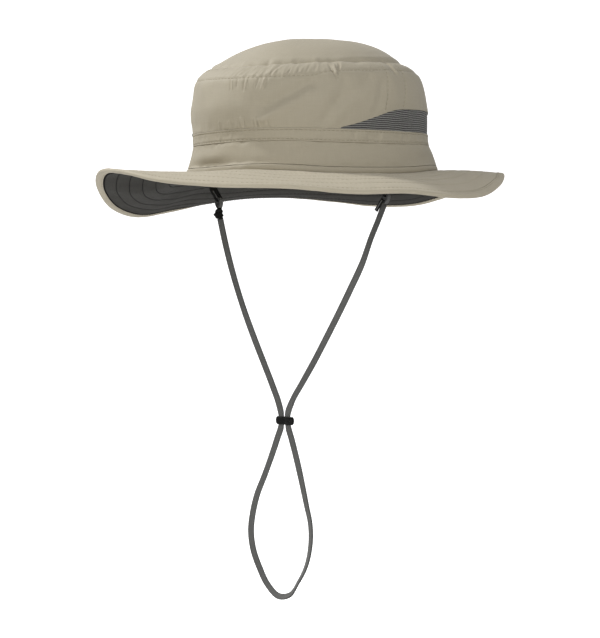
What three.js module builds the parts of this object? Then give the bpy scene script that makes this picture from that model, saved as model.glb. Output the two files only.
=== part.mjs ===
// Bucket sun hat with a stitched brim, mesh side vents and a hanging chin strap.
// Millimetres, +Z up. The hat faces -Y and the wearer's left is +X. The origin is the
// centre of the crown's base, where the hat sits on the head.
import * as THREE from "three";

// ---- Driving dimensions ----
const HALF_LENGTH = 105.2; // crown base oval outside, front to back
const HALF_WIDTH = 88.2; // crown base oval outside, side to side
const CLOTH = 1.2; // crown cloth
const CLEARANCE = 0.3; // between neighbouring pieces
const AROUND = 48; // facets round the hat

const SEAM_STRIP_HEIGHT = 4; // welt that covers the seam of crown and brim
const SEAM_STRIP_PROUD = 0.5;
const CHANNEL_LEVEL = 28.6; // top of the drawcord channel round the crown
const CHANNEL_HEIGHT = 8.6;
const CHANNEL_PROUD = 0.6;
const SIDE_SEAM_AHEAD = 11.5; // degrees that the side seams sit ahead of the sides

const TIP_LEVEL = 79; // seam of the domed top panel
const TIP_RISE = 20.3; // dome above the middle of its seam
const TIP_FULLNESS = 2.9; // power of the dome's curve: 2 is round, more is squarer

const BRIM_FRONT = 70; // brim width at the front
const BRIM_BACK = 44; // brim width at the back
const BRIM_LAYER = 1.05; // top cloth and underside cloth, each
const BRIM_SPLIT = 0.15; // half the gap between the two layers
const BRIM_TUCK = 1.6; // how far the brim reaches in under the seam strip
const BINDING_WIDTH = 5.5;
const BINDING_THICKNESS = 3;

const STRAP_PLANE = -16; // Y of the plane that the chin strap hangs in
const STRAP_WIDTH = 4.8;
const STRAP_THICKNESS = 1.3;
const STRAP_END_GAP = 0.85; // on its centre line, because it leaves its hanger at an angle
const TAB_SEWN_X = 81.7; // webbing tabs, inside the lower band
const TAB_SEWN_Z = 9;

// Crown outline: level above the base, size against the base oval, and how far the soft
// crown leans to the front and the wearer's right.
const CROWN_LEVELS = [
  { level: 0, size: 1.0, lean: 0 },
  { level: 5, size: 0.99, lean: 0 },
  { level: 13, size: 0.963, lean: 0.2 },
  { level: 21, size: 0.936, lean: 1.1 },
  { level: 25, size: 0.928, lean: 1.4 },
  { level: 30, size: 0.939, lean: 1.5 },
  { level: 44, size: 0.943, lean: 1.9 },
  { level: 55, size: 0.93, lean: 2.2 },
  { level: 64, size: 0.912, lean: 2.9 },
  { level: 70, size: 0.886, lean: 3.4 },
  { level: 73.5, size: 0.853, lean: 3.9 },
  { level: 76.5, size: 0.812, lean: 4.2 },
  { level: 79, size: 0.755, lean: 4.9 },
];
const LEAN_TOWARD = 215; // degrees

// Mesh vent on each side: angle ahead of (-) or behind (+) the side, and its height.
const VENT_HEIGHTS = [
  { angle: -37, height: 0.9 },
  { angle: -29, height: 4.3 },
  { angle: -20, height: 8.9 },
  { angle: -11, height: 13.4 },
  { angle: -5, height: 15.2 },
  { angle: 4, height: 15.7 },
  { angle: 30, height: 16 },
  { angle: 46, height: 13.5 },
  { angle: 60, height: 7.5 },
  { angle: 72, height: 0.9 },
];

// Round the soft hat, a row every 15 degrees from the wearer's left (+X) towards the
// back (+Y). Crown: how much higher than its level each seam lies. Brim: height of its
// edge, how late it bends down to it, and the crest of the roll between.
const ROUND_STEP = 15;
const ROUND_ROWS = [
  { base: 0.1, channel: 0.5, tip: 1.3, edge: -17.4, bend: 2.4, crest: 0.1 },
  { base: 2.1, channel: 0.8, tip: 2.7, edge: -9.4, bend: 3, crest: 0.7 },
  { base: 2.4, channel: 0.95, tip: 2.9, edge: -1.2, bend: 3, crest: 0.7 },
  { base: 1.8, channel: 0.9, tip: 3.9, edge: -2, bend: 3, crest: 0.6 },
  { base: 1, channel: 0.7, tip: 4.2, edge: -8, bend: 2.2, crest: -1 },
  { base: 0.4, channel: 0.4, tip: 4.2, edge: -14.6, bend: 1.8, crest: -4 },
  { base: 0, channel: 0.2, tip: 4, edge: -22.1, bend: 1.6, crest: -6 },
  { base: -0.2, channel: 0, tip: 3.5, edge: -22.8, bend: 1.5, crest: -6 },
  { base: -0.3, channel: -0.2, tip: 2.9, edge: -18.7, bend: 1.5, crest: -5.8 },
  { base: -0.3, channel: -0.3, tip: 2.3, edge: -15.3, bend: 1.5, crest: -5.9 },
  { base: -0.2, channel: -0.4, tip: 1.8, edge: -15.9, bend: 1.5, crest: -6.3 },
  { base: 0, channel: -0.5, tip: 1.3, edge: -20.8, bend: 1.6, crest: -7.3 },
  { base: 0, channel: -0.6, tip: 0.6, edge: -28.2, bend: 1.9, crest: -7.2 },
  { base: 0, channel: -0.8, tip: 0, edge: -31.9, bend: 2, crest: -10.3 },
  { base: -0.4, channel: -0.9, tip: -1.1, edge: -25.1, bend: 2.6, crest: -13.3 },
  { base: -0.8, channel: -0.9, tip: -2.1, edge: -10.5, bend: 3.1, crest: -10.6 },
  { base: -1.1, channel: -0.7, tip: -3.6, edge: -0.4, bend: 3, crest: 0.6 },
  { base: -1.1, channel: -0.35, tip: -4.4, edge: -1.2, bend: 2.9, crest: 0.8 },
  { base: -0.3, channel: 0.3, tip: -4.6, edge: -8.3, bend: 2.8, crest: 0.4 },
  { base: 0.7, channel: 0.8, tip: -4.2, edge: -11.8, bend: 1.9, crest: 1.1 },
  { base: 0.2, channel: 0.85, tip: -3.3, edge: -12.6, bend: 1.4, crest: 0 },
  { base: -1.3, channel: 0.6, tip: -2.2, edge: -16.2, bend: 2.1, crest: 0 },
  { base: -1.5, channel: 0.45, tip: -1.1, edge: -15.8, bend: 2.4, crest: 0 },
  { base: -1.1, channel: 0.4, tip: 0, edge: -18.7, bend: 2.4, crest: 0 },
];

// Chin strap, from the wearer's right down through the toggle, round the loop and
// back up through the toggle to the left: x and z in the strap's plane.
const STRAP_ROUTE = [
  [-77.6, -33.8],
  [-73.1, -51],
  [-62.4, -84],
  [-54, -105],
  [-44.3, -126],
  [-34.7, -145.4],
  [-26.8, -161.6],
  [-21.7, -173],
  [-19.1, -182],
  [-19.1, -191],
  [-22.7, -201],
  [-27.8, -214],
  [-34.9, -230.6],
  [-42.7, -248],
  [-46.5, -262],
  [-48.2, -275],
  [-46.1, -289.6],
  [-40, -303.4],
  [-31.9, -316],
  [-21.8, -323.2],
  [-11.4, -321],
  [-3.1, -310],
  [4.2, -296.6],
  [8.1, -281],
  [8.2, -264.6],
  [4.5, -249.4],
  [-4.8, -214.6],
  [-9.1, -201],
  [-12.4, -191],
  [-12.9, -182],
  [-8.7, -171.4],
  [0.7, -156.8],
  [11, -141],
  [22.2, -122.6],
  [44.3, -84.4],
  [54.4, -65.6],
  [62, -47],
  [68, -34.4],
  [73, -23.2],
];
const STRAP_STEPS = 76;

const TOGGLE = { width: 16.4, depth: 4.6, height: 6, wall: 1.3, x: -15.5, z: -186.8 };
const TAB = { width: 8.4, thickness: 2, eyeWidth: 5.6, eyeHeight: 9, hem: 1.6 };
const FOLD_WALL = 1.2; // strap cloth round the tab's eye
const FOLD_STEM = 3; // doubled strap below the eye
const KEEPER = { width: 6.4, depth: 4, height: 7.6 };
const TAIL_TAB = { width: 3.2, thickness: 1.6, length: 10, lean: 20 };

// ---- Tables and curves ----
const radians = THREE.MathUtils.degToRad;
const toward = (angle, peak) => Math.cos(radians(angle - peak));

function lookUp(rows, key, value, at) {
  const next = rows.findIndex((row) => row[key] >= at);
  if (next < 0) return rows[rows.length - 1][value];
  if (next === 0) return rows[0][value];
  const [low, high] = [rows[next - 1], rows[next]];
  const part = (at - low[key]) / (high[key] - low[key]);
  return THREE.MathUtils.lerp(low[value], high[value], part);
}

function roundTheHat(value, angle) {
  const count = ROUND_ROWS.length;
  const place = (((angle / ROUND_STEP) % count) + count) % count;
  const row = Math.floor(place);
  const [a, b, c, d] = [-1, 0, 1, 2].map((step) => ROUND_ROWS[(row + step + count) % count][value]);
  const t = place - row;
  return b + 0.5 * t * (c - a + t * (2 * a - 5 * b + 4 * c - d + t * (3 * (b - c) + d - a)));
}

// Height of the point of the crown at an angle and a level.
function heightOf(angle, level) {
  const { lerp } = THREE.MathUtils;
  const channel = roundTheHat("channel", angle);
  if (level <= CHANNEL_LEVEL) {
    return level + lerp(roundTheHat("base", angle), channel, level / CHANNEL_LEVEL);
  }
  const part = (level - CHANNEL_LEVEL) / (TIP_LEVEL - CHANNEL_LEVEL);
  return level + lerp(channel, roundTheHat("tip", angle), part);
}

function ventHeight(angle) {
  const fromSide = ((((angle + 90) % 360) + 360) % 360) - 90; // side at +X is 0, side at -X is 180
  const ahead = fromSide > 90 ? 180 - fromSide : fromSide;
  const inside = ahead >= VENT_HEIGHTS[0].angle && ahead <= VENT_HEIGHTS[VENT_HEIGHTS.length - 1].angle;
  return inside ? lookUp(VENT_HEIGHTS, "angle", "height", ahead) : 0;
}

// ---- Surfaces, each a function of the angle round the hat and of a second number ----
function ovalPoint(angle, size, outward) {
  const [cos, sin] = [Math.cos(radians(angle)), Math.sin(radians(angle))];
  const normal = new THREE.Vector2(cos / HALF_WIDTH, sin / HALF_LENGTH).normalize();
  const point = new THREE.Vector2(HALF_WIDTH * size * cos, HALF_LENGTH * size * sin);
  return point.addScaledVector(normal, outward);
}

function crownPoint(angle, level, outward = 0) {
  const lean = lookUp(CROWN_LEVELS, "level", "lean", level);
  const point = ovalPoint(angle, lookUp(CROWN_LEVELS, "level", "size", level), outward);
  const x = point.x + lean * Math.cos(radians(LEAN_TOWARD));
  const y = point.y + lean * Math.sin(radians(LEAN_TOWARD));
  return new THREE.Vector3(x, y, heightOf(angle, level));
}

function tipPoint(angle, fromCentre) {
  const rim = crownPoint(angle, TIP_LEVEL).setZ(heightOf(angle, TIP_LEVEL) + CLEARANCE);
  const opposite = crownPoint(angle + 180, TIP_LEVEL);
  const centre = rim.clone().add(opposite).divideScalar(2);
  const point = centre.clone().lerp(rim, fromCentre);
  const fullness = TIP_FULLNESS + 0.5 * toward(angle, 35);
  const seam = THREE.MathUtils.lerp(centre.z, rim.z, fromCentre ** 2);
  return point.setZ(seam + TIP_RISE * (1 - fromCentre ** fullness));
}

const brimWidth = (angle) => {
  const mean = (BRIM_FRONT + BRIM_BACK) / 2;
  return mean + (BRIM_FRONT - mean) * toward(angle, 270);
};

// The middle of the brim: `across` runs from 0 at its inner edge to 1 at its outer edge.
function brimPoint(angle, across) {
  const outward = -BRIM_TUCK + (brimWidth(angle) + BRIM_TUCK) * across;
  const level = -(BRIM_LAYER + BRIM_SPLIT) - CLEARANCE + roundTheHat("base", angle);
  const share = Math.max(0, outward - SEAM_STRIP_PROUD) / (brimWidth(angle) - SEAM_STRIP_PROUD);
  const drop = (roundTheHat("edge", angle) - level) * share ** roundTheHat("bend", angle);
  const crest = roundTheHat("crest", angle) * Math.sin(Math.PI * share);
  const point = ovalPoint(angle, 1, outward);
  return new THREE.Vector3(point.x, point.y, level + drop + crest);
}

// ---- Solids from surfaces ----
const PROBE = 1e-3;

function normalOf(surface, u, v, vLow, vHigh) {
  const along = surface(u + PROBE, v).sub(surface(u - PROBE, v));
  const [low, high] = [Math.max(v - PROBE, vLow), Math.min(v + PROBE, vHigh)];
  return along.cross(surface(u, high).sub(surface(u, low))).normalize();
}

// Moves a surface along its own normal.
function shifted(surface, distance, vLow = 0, vHigh = 1) {
  return (u, v) => surface(u, v).addScaledVector(normalOf(surface, u, v, vLow, vHigh), distance);
}

function closedGeometry(points, triangles) {
  const volume = triangles.reduce((sum, [a, b, c]) => {
    return sum + points[a].dot(points[b].clone().cross(points[c]));
  }, 0);
  const turned = volume < 0 ? triangles.map(([a, b, c]) => [a, c, b]) : triangles;
  const geometry = new THREE.BufferGeometry().setFromPoints(points);
  geometry.setIndex(turned.flat());
  geometry.computeVertexNormals();
  return geometry;
}

// A wall between two faces of the same grid. `angles` closes on itself in a ring.
function wallGeometry(outer, inner, angles, rows, { ring = true, pole = false } = {}) {
  const points = [];
  const triangles = [];
  const columns = angles.length;
  const poleRow = rows.length - 1;
  const addFace = (surface) => {
    return angles.map((angle, column) => {
      return rows.map((row, index) => {
        if (pole && index === poleRow && column > 0) return null;
        points.push(surface(angle, row));
        return points.length - 1;
      });
    });
  };
  const faces = [outer, inner].map(addFace);
  const corner = (face, column, row) => {
    const isPole = pole && row === poleRow;
    return faces[face][isPole ? 0 : column % columns][row];
  };
  const addQuad = (a, b, c, d) => {
    if (a !== b && a !== c) triangles.push([a, b, c]);
    if (c !== d) triangles.push([a, c, d]);
  };
  const spans = ring ? columns : columns - 1;
  for (let column = 0; column < spans; column += 1) {
    for (let row = 0; row < rows.length - 1; row += 1) {
      const [o, n] = [(c, r) => corner(0, c, r), (c, r) => corner(1, c, r)];
      addQuad(o(column, row), o(column + 1, row), o(column + 1, row + 1), o(column, row + 1));
      addQuad(n(column, row), n(column, row + 1), n(column + 1, row + 1), n(column + 1, row));
    }
    const rims = pole ? [[0, false]] : [[0, false], [rows.length - 1, true]];
    for (const [row, top] of rims) {
      const [left, right] = top ? [column, column + 1] : [column + 1, column];
      addQuad(corner(0, left, row), corner(0, right, row), corner(1, right, row), corner(1, left, row));
    }
  }
  if (!ring) {
    for (const [column, last] of [[0, false], [columns - 1, true]]) {
      for (let row = 0; row < rows.length - 1; row += 1) {
        const [low, high] = last ? [row + 1, row] : [row, row + 1];
        const end = [corner(0, column, low), corner(0, column, high)];
        addQuad(end[0], end[1], corner(1, column, high), corner(1, column, low));
      }
    }
  }
  return closedGeometry(points, triangles);
}

const spread = (from, to, count) => {
  return Array.from({ length: count + 1 }, (_, index) => from + ((to - from) * index) / count);
};
const fullTurn = spread(0, 360, AROUND).slice(0, -1);

// A band of crown cloth between two levels, which may be functions of the angle.
function bandGeometry(bottom, top, proud, thickness, rowCount, angles = fullTurn, ring = true) {
  const level = (angle, row) => THREE.MathUtils.lerp(bottom(angle), top(angle), row);
  const outer = (angle, row) => crownPoint(angle, level(angle, row), proud);
  const inner = (angle, row) => crownPoint(angle, level(angle, row), proud - thickness);
  return wallGeometry(outer, inner, angles, spread(0, 1, rowCount), { ring });
}

function panelGeometry(centre) {
  const ahead = centre === 90 ? SIDE_SEAM_AHEAD : -SIDE_SEAM_AHEAD;
  const half = 90 + ahead - 0.1; // degrees, with clearance at the side seams
  const angles = spread(centre - half, centre + half, AROUND / 2);
  const bottom = (angle) => CHANNEL_LEVEL + ventHeight(angle) + CLEARANCE;
  return bandGeometry(bottom, () => TIP_LEVEL, 0, CLOTH, 9, angles, false);
}

function ventGeometry(side) {
  const ends = [VENT_HEIGHTS[0].angle, VENT_HEIGHTS[VENT_HEIGHTS.length - 1].angle];
  const angles = spread(ends[0], ends[1], 20).map((ahead) => (side > 0 ? ahead : 180 - ahead));
  const top = (angle) => CHANNEL_LEVEL + ventHeight(angle) - CLEARANCE;
  return bandGeometry(() => CHANNEL_LEVEL + CLEARANCE, top, 0, CLOTH, 2, angles, false);
}

function tipGeometry() {
  const rows = spread(1, 0, 7);
  const inner = (angle, row) => {
    if (row === 0) return tipPoint(angle, 0).setZ(tipPoint(angle, 0).z - CLOTH);
    return shifted(tipPoint, -CLOTH)(angle, row);
  };
  return wallGeometry(tipPoint, inner, fullTurn, rows, { pole: true });
}

// How far across the brim a point lies that is `inset` from its outer edge.
const acrossAt = (angle, inset) => 1 - inset / (brimWidth(angle) + BRIM_TUCK);

function brimLayerGeometry(from, to) {
  const across = (angle, row) => row * acrossAt(angle, BINDING_WIDTH + CLEARANCE);
  const face = (distance) => (angle, row) => shifted(brimPoint, distance)(angle, across(angle, row));
  return wallGeometry(face(to), face(from), fullTurn, spread(0, 1, 7));
}

function bindingGeometry() {
  const half = BINDING_THICKNESS / 2;
  const across = (angle, row) => THREE.MathUtils.lerp(acrossAt(angle, BINDING_WIDTH), 1, row);
  const thin = (row) => half * (1 - 0.45 * row ** 4); // the folded edge is rounded
  const outer = (angle, row) => shifted(brimPoint, thin(row))(angle, across(angle, row));
  const inner = (angle, row) => shifted(brimPoint, -thin(row))(angle, across(angle, row));
  return wallGeometry(outer, inner, fullTurn, [0, 0.6, 1]);
}

// ---- Chin strap and its fittings ----
function strapGeometry() {
  const route = STRAP_ROUTE.map(([x, z]) => new THREE.Vector3(x, STRAP_PLANE, z));
  const extrudePath = new THREE.CatmullRomCurve3(route, false, "centripetal");
  const [flat, thick] = [STRAP_WIDTH / 2, STRAP_THICKNESS / 2];
  const round = 0.4; // how much of the tape's half thickness its edges round off
  const side = flat - thick * round;
  const section = new THREE.Shape([
    [thick, -side], [thick, 0], [thick, side], [thick * round, flat], [-thick * round, flat],
    [-thick, side], [-thick, 0], [-thick, -side], [-thick * round, -flat], [thick * round, -flat],
  ].map(([x, y]) => new THREE.Vector2(x, y)));
  return new THREE.ExtrudeGeometry(section, { steps: STRAP_STEPS, extrudePath });
}

function roundedBox(width, height, radius) {
  const [x, y] = [width / 2, height / 2];
  const shape = new THREE.Shape();
  shape.moveTo(x, -y + radius);
  shape.absarc(x - radius, y - radius, radius, 0, Math.PI / 2);
  shape.absarc(-x + radius, y - radius, radius, Math.PI / 2, Math.PI);
  shape.absarc(-x + radius, -y + radius, radius, Math.PI, 1.5 * Math.PI);
  shape.absarc(x - radius, -y + radius, radius, 1.5 * Math.PI, 2 * Math.PI);
  return shape;
}

function extruded(shape, depth) {
  const geometry = new THREE.ExtrudeGeometry(shape, { depth, bevelEnabled: false, curveSegments: 3 });
  return geometry.translate(0, 0, -depth / 2);
}

function toggleGeometry() {
  const { width, depth, height, wall } = TOGGLE;
  const ring = roundedBox(width, depth, depth * 0.45);
  const hole = roundedBox(width - 2 * wall, depth - 2 * wall, 0.5);
  ring.holes.push(new THREE.Path(hole.getPoints(3).reverse()));
  return extruded(ring, height);
}

// Flat webbing tab: drawn in its own plane, the eye for the strap near its lower end.
function tabGeometry(length) {
  const { width, thickness, eyeWidth, eyeHeight, hem } = TAB;
  const outline = roundedBox(width, length, 1.2);
  const eye = roundedBox(eyeWidth, eyeHeight, 0.4);
  const drop = -length / 2 + hem + eyeHeight / 2;
  const points = eye.getPoints(3).map((point) => point.setY(point.y + drop));
  outline.holes.push(new THREE.Path(points.reverse()));
  return extruded(outline, thickness).rotateX(Math.PI / 2).rotateZ(Math.PI / 2);
}

// The strap's end, folded through the eye round the tab's hem and closed below it.
function foldGeometry() {
  const hole = { width: TAB.thickness + 2 * CLEARANCE, height: TAB.hem + 2 * CLEARANCE };
  const outer = { width: hole.width + 2 * FOLD_WALL, height: hole.height + 2 * FOLD_WALL };
  const stem = FOLD_WALL + 0.2;
  const [x, top, low] = [outer.width / 2, outer.height / 2, -outer.height / 2];
  const shape = new THREE.Shape([
    [-stem, low - FOLD_STEM], [stem, low - FOLD_STEM], [stem, low - 0.4], [x, low + 1],
    [x, top - 0.5], [x - 0.5, top], [-x + 0.5, top], [-x, top - 0.5], [-x, low + 1],
    [-stem, low - 0.4],
  ].map(([px, py]) => new THREE.Vector2(px, py)));
  const opening = roundedBox(hole.width, hole.height, 0.3);
  shape.holes.push(new THREE.Path(opening.getPoints(3).reverse()));
  return extruded(shape, STRAP_WIDTH).rotateX(Math.PI / 2);
}

function piece(name, geometry, colour, roughness = 0.85) {
  const material = new THREE.MeshStandardMaterial({ color: colour, roughness, metalness: 0 });
  const mesh = new THREE.Mesh(geometry, material);
  mesh.name = name;
  return mesh;
}

const KHAKI = 0xa89f87;
const CHARCOAL = 0x464541;
const GREY = 0x5a5a58;
const BLACK = 0x181816;

const hat = new THREE.Group();
const halfGap = CLEARANCE / 2;

// Crown
hat.add(piece("crown_tip", tipGeometry(), KHAKI));
hat.add(piece("crown_front", panelGeometry(270), KHAKI));
hat.add(piece("crown_back", panelGeometry(90), KHAKI));
hat.add(piece("vent_left", ventGeometry(1), GREY));
hat.add(piece("vent_right", ventGeometry(-1), GREY));
function addBand(name, bottom, top, proud, rowCount) {
  hat.add(piece(name, bandGeometry(() => bottom, () => top, proud, CLOTH + proud, rowCount), KHAKI));
}
const channelBottom = CHANNEL_LEVEL - CHANNEL_HEIGHT;
addBand("cord_channel", channelBottom + halfGap, CHANNEL_LEVEL, CHANNEL_PROUD, 2);
addBand("lower_band", SEAM_STRIP_HEIGHT + halfGap, channelBottom - halfGap, 0, 3);
addBand("seam_strip", 0, SEAM_STRIP_HEIGHT - halfGap, SEAM_STRIP_PROUD, 1);

// Brim
hat.add(piece("brim_top", brimLayerGeometry(BRIM_SPLIT, BRIM_SPLIT + BRIM_LAYER), KHAKI));
hat.add(piece("brim_underside", brimLayerGeometry(-BRIM_SPLIT - BRIM_LAYER, -BRIM_SPLIT), CHARCOAL));
hat.add(piece("brim_binding", bindingGeometry(), KHAKI));

// Chin strap
hat.add(piece("chin_strap", strapGeometry(), GREY));
const toggle = piece("strap_toggle", toggleGeometry(), BLACK, 0.5);
toggle.position.set(TOGGLE.x, STRAP_PLANE, TOGGLE.z);
hat.add(toggle);

// One hanger at each side: a webbing tab sewn inside the lower band, in line with the
// strap's end, and the strap's fold through it. `below` leaves room under the fold.
function hanger(side, strapEnd, below) {
  const sewn = new THREE.Vector2(side * TAB_SEWN_X, TAB_SEWN_Z);
  const end = new THREE.Vector2(...strapEnd);
  const group = new THREE.Group();
  group.position.set(sewn.x, STRAP_PLANE, sewn.y);
  group.rotation.y = Math.atan2(sewn.x - end.x, sewn.y - end.y);
  const name = side > 0 ? "left" : "right";
  const foldHeight = TAB.hem + 2 * (CLEARANCE + FOLD_WALL);
  const stemEnd = -(sewn.distanceTo(end) - STRAP_END_GAP - below);
  const foldCentre = stemEnd + FOLD_STEM + foldHeight / 2;
  const tabLength = -(foldCentre - TAB.hem / 2);
  const tab = piece(`webbing_tab_${name}`, tabGeometry(tabLength), BLACK, 0.7);
  tab.position.z = -tabLength / 2;
  const fold = piece(`strap_fold_${name}`, foldGeometry(), GREY);
  fold.position.z = foldCentre;
  group.add(tab, fold);
  return { group, stemEnd };
}

const right = hanger(-1, STRAP_ROUTE[0], KEEPER.height + CLEARANCE);
const wrap = extruded(roundedBox(KEEPER.depth, KEEPER.width, 1.5), KEEPER.height);
const keeper = piece("strap_keeper", wrap, BLACK, 0.6);
keeper.position.z = right.stemEnd - CLEARANCE - KEEPER.height / 2;
right.group.add(keeper);
hat.add(right.group);

const left = hanger(1, STRAP_ROUTE[STRAP_ROUTE.length - 1], 0);
const tail = extruded(roundedBox(TAIL_TAB.width, TAIL_TAB.length, 0.7), TAIL_TAB.thickness);
const tailTab = piece("strap_tail_tab", tail.rotateX(Math.PI / 2), BLACK, 0.6);
const tailDrop = TAIL_TAB.length / 2 - 1;
tailTab.position.set(
  -tailDrop * Math.sin(radians(TAIL_TAB.lean)),
  -(STRAP_WIDTH + TAIL_TAB.thickness) / 2 - CLEARANCE,
  left.stemEnd + 2 - tailDrop * Math.cos(radians(TAIL_TAB.lean)),
);
tailTab.rotation.y = radians(TAIL_TAB.lean);
left.group.add(tailTab);
hat.add(left.group);

export default hat;
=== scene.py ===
"""Bucket sun hat: domed cloth crown with mesh vents, stitched brim and a hanging chin strap."""

import math

import bmesh
import bpy
import numpy as np
from mathutils import Matrix, Vector


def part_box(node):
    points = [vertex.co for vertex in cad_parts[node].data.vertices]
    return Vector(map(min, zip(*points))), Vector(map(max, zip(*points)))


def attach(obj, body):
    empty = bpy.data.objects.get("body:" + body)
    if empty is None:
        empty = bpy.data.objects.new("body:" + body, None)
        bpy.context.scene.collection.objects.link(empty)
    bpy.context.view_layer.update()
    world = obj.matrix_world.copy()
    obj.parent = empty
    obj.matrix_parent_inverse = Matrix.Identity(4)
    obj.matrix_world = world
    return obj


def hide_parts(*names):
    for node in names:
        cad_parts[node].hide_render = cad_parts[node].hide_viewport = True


bl_info = {
    "name": "Bucket Sun Hat",
    "version": (1, 0, 0),
    "blender": (4, 5, 0),
    "location": "3D View > Sidebar > Sun Hat",
    "description": "Builds a soft sun hat with its crown, vents, brim, stitching and chin strap",
    "category": "Add Mesh",
}

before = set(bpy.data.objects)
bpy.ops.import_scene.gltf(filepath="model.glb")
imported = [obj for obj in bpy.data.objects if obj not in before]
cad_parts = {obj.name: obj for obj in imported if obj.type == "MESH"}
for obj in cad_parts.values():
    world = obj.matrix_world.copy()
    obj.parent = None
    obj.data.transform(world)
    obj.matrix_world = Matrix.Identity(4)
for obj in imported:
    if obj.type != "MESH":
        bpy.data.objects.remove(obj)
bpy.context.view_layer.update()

MM = 0.001
# The hat faces -Y, and the wearer's left is +X. Angles are in degrees round the hat from
# +X towards +Y. Lengths in the tables and in the shape functions are in millimetres.

# ---- The frame's own sizes ----
STRIP_LOW, STRIP_HIGH = (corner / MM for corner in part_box("seam_strip"))
SEAM_STRIP_PROUD = 0.5
HALF_WIDTH = (STRIP_HIGH.x - STRIP_LOW.x) / 2 - SEAM_STRIP_PROUD
HALF_LENGTH = (STRIP_HIGH.y - STRIP_LOW.y) / 2 - SEAM_STRIP_PROUD
MM_PER_DEGREE = math.pi * (HALF_LENGTH + HALF_WIDTH) / 360 * 0.93
CLOTH = 1.2
CLEARANCE = 0.3
# A hem reaches this much further than its neighbour's edge, is sunk this deep, and starts to
# sink in this short a step.
TURN_IN, TURN_IN_DEPTH, TURN_IN_STEP = 0.45, 0.95, 0.03
SEAM_STRIP_HEIGHT = 4.0
CHANNEL_LEVEL = 28.6
CHANNEL_LOW = CHANNEL_LEVEL - 8.6
CHANNEL_PROUD = 0.6
SIDE_SEAM_AHEAD = 11.5
SIDE_SEAM_RIDGES = (-6.5, 186.5)
PANEL_MIDDLE = 50.0
TIP_LEVEL = 79.0
TIP_RADIUS = 68
TIP_RISE = 20.3
TIP_FULLNESS = 2.9
BRIM_FRONT = 70.0
BRIM_BACK = 44.0
BRIM_STEADY = 38.0  # rows of the mesh keep this far in step with the brim's edge
BRIM_LAYER = 1.05
BRIM_SPLIT = 0.15
BRIM_TUCK = 1.6
BINDING_WIDTH = 5.5
BINDING_THICKNESS = 3.0
STRAP_PLANE = -16.0
STRAP_END_GAP = 0.85
TAPE_THICKNESS = 1.3
# The tape's painted edge shade repeats over this span, once for each face.
TAPE_FACE = 0.00548  # round one face of the strap's tape from edge to edge, metres
TAB_SEWN_X, TAB_SEWN_Z = 81.7, 9.0
FOLD_HEIGHT, FOLD_STEM, FOLD_RADIUS = 4.6, 3.0, 2.0
LOOP_HALF, LOOP_HEIGHT, LOOP_THICKNESS, LOOP_BEND = 3.45, 9.5, 1.8, 1.4
WRAP_HEIGHT = 7.6
KEEPER_HALF = (2.0, 3.2)
TAIL_LENGTH, TAIL_THICKNESS, TAIL_LEAN = 10.0, 1.6, 20.0

# ---- Slider, in metres ----
# Where it is cut across, how narrow its waist is there, and how it rounds off towards its top
# and bottom: share of its half height, and size.
SLIDER_CUTS = (-0.003, -0.0015, 0, 0.0015, 0.003)
SLIDER_WAIST = ((0, 0.62), (0.0015, 0.84))
SLIDER_ENDS = ((0.5, 0.975), (0.8, 0.92), (1, 0.83))
SLIDER_WALL, SLIDER_EDGE = 0.00105, 0.00045

# ---- Rows of stitches ----
CHANNEL_LINES = (21.4, 27.4)
# Beside the side seams: angle at half height, and turn for each millimetre above it.
SIDE_SEAM_LINES = ((-12.4, 0.2), (-0.5, 0.28))
BRIM_LINES = (15.0, 24.5, 34.0, 43.5, 53.0, 62.5)
BINDING_LINE = 4.4
# Under the brim beside the binding; its row is drawn thick and near-black as a painted shadow line
# along the binding's edge.
UNDER_EDGE_LINE = 6.3
RIB_PITCH = 1.45
# A stitch's rings: place along it, rise of the ring's middle and its radius, in threads.
STITCH_RINGS = ((-0.5, -0.3, 0.3), (-0.26, 0.22, 0.5), (0.26, 0.22, 0.5), (0.5, -0.3, 0.3))
STITCH_SIDES = 5
# A line round the hat has this many points. The brim's rows stop this far from the crown's
# seam, and a row that would have fewer points than the shortest is left out.
SEWN_POINTS, SEAM_MARGIN, SHORTEST_ROW = 900, 4, 12

# ---- Rows of the meshes, closer together where the cloth bends ----
TIP_ROWS = (1.008, 1.004, 1, 0.996, 0.991, 0.985, 0.978, 0.97, 0.96, 0.95, 0.94)
WELT_ROWS = (0, 0.2, 0.45, 0.8, 1.4, 2, 2.6, 3.1, 3.45, 3.7, 3.85)
BINDING_ROWS = (0.005, 0.04, 0.15, 0.35, 0.65, 1.05, 1.5, 2.2, 2.9, 3.5, 3.9, 4.2, 4.5, 4.9, 5.2, 5.5)

# ---- Unevenness of the cloths ----
# Rows of smooth noise: height, seed, cells in one turn round the hat, and height of a cell.
# The puckers of a seam vary only round the hat.
PANEL_WAVES = ((0.7, 21, 13, 26), (0.35, 22, 26, 17), (0.14, 23, 60, 9))
LEAF_GATHERS = ((0.6, 31, 420, 3.6), (0.4, 32, 240, 6))
UNDER_GATHERS = ((0.5, 35, 170, 12), (0.3, 36, 90, 15))
TIP_WAVES = ((0.55, 51, 9, 24), (0.25, 52, 22, 14))
CHANNEL_GATHERS = ((0.55, 61, 200, 6), (0.45, 62, 118, 9))
BAND_WAVES = ((0.5, 71, 20, 9), (0.16, 72, 70, 8))
TIP_PUCKERS = ((0.5, 11, 128, 1), (0.35, 12, 83, 1))
VENT_PUCKERS = ((0.55, 33, 230, 1), (0.45, 34, 110, 1))
BAND_PUCKERS = ((0.6, 73, 150, 1), (0.4, 74, 90, 1))
TOP_SEED, UNDERSIDE_SEED = 91, 95

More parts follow.
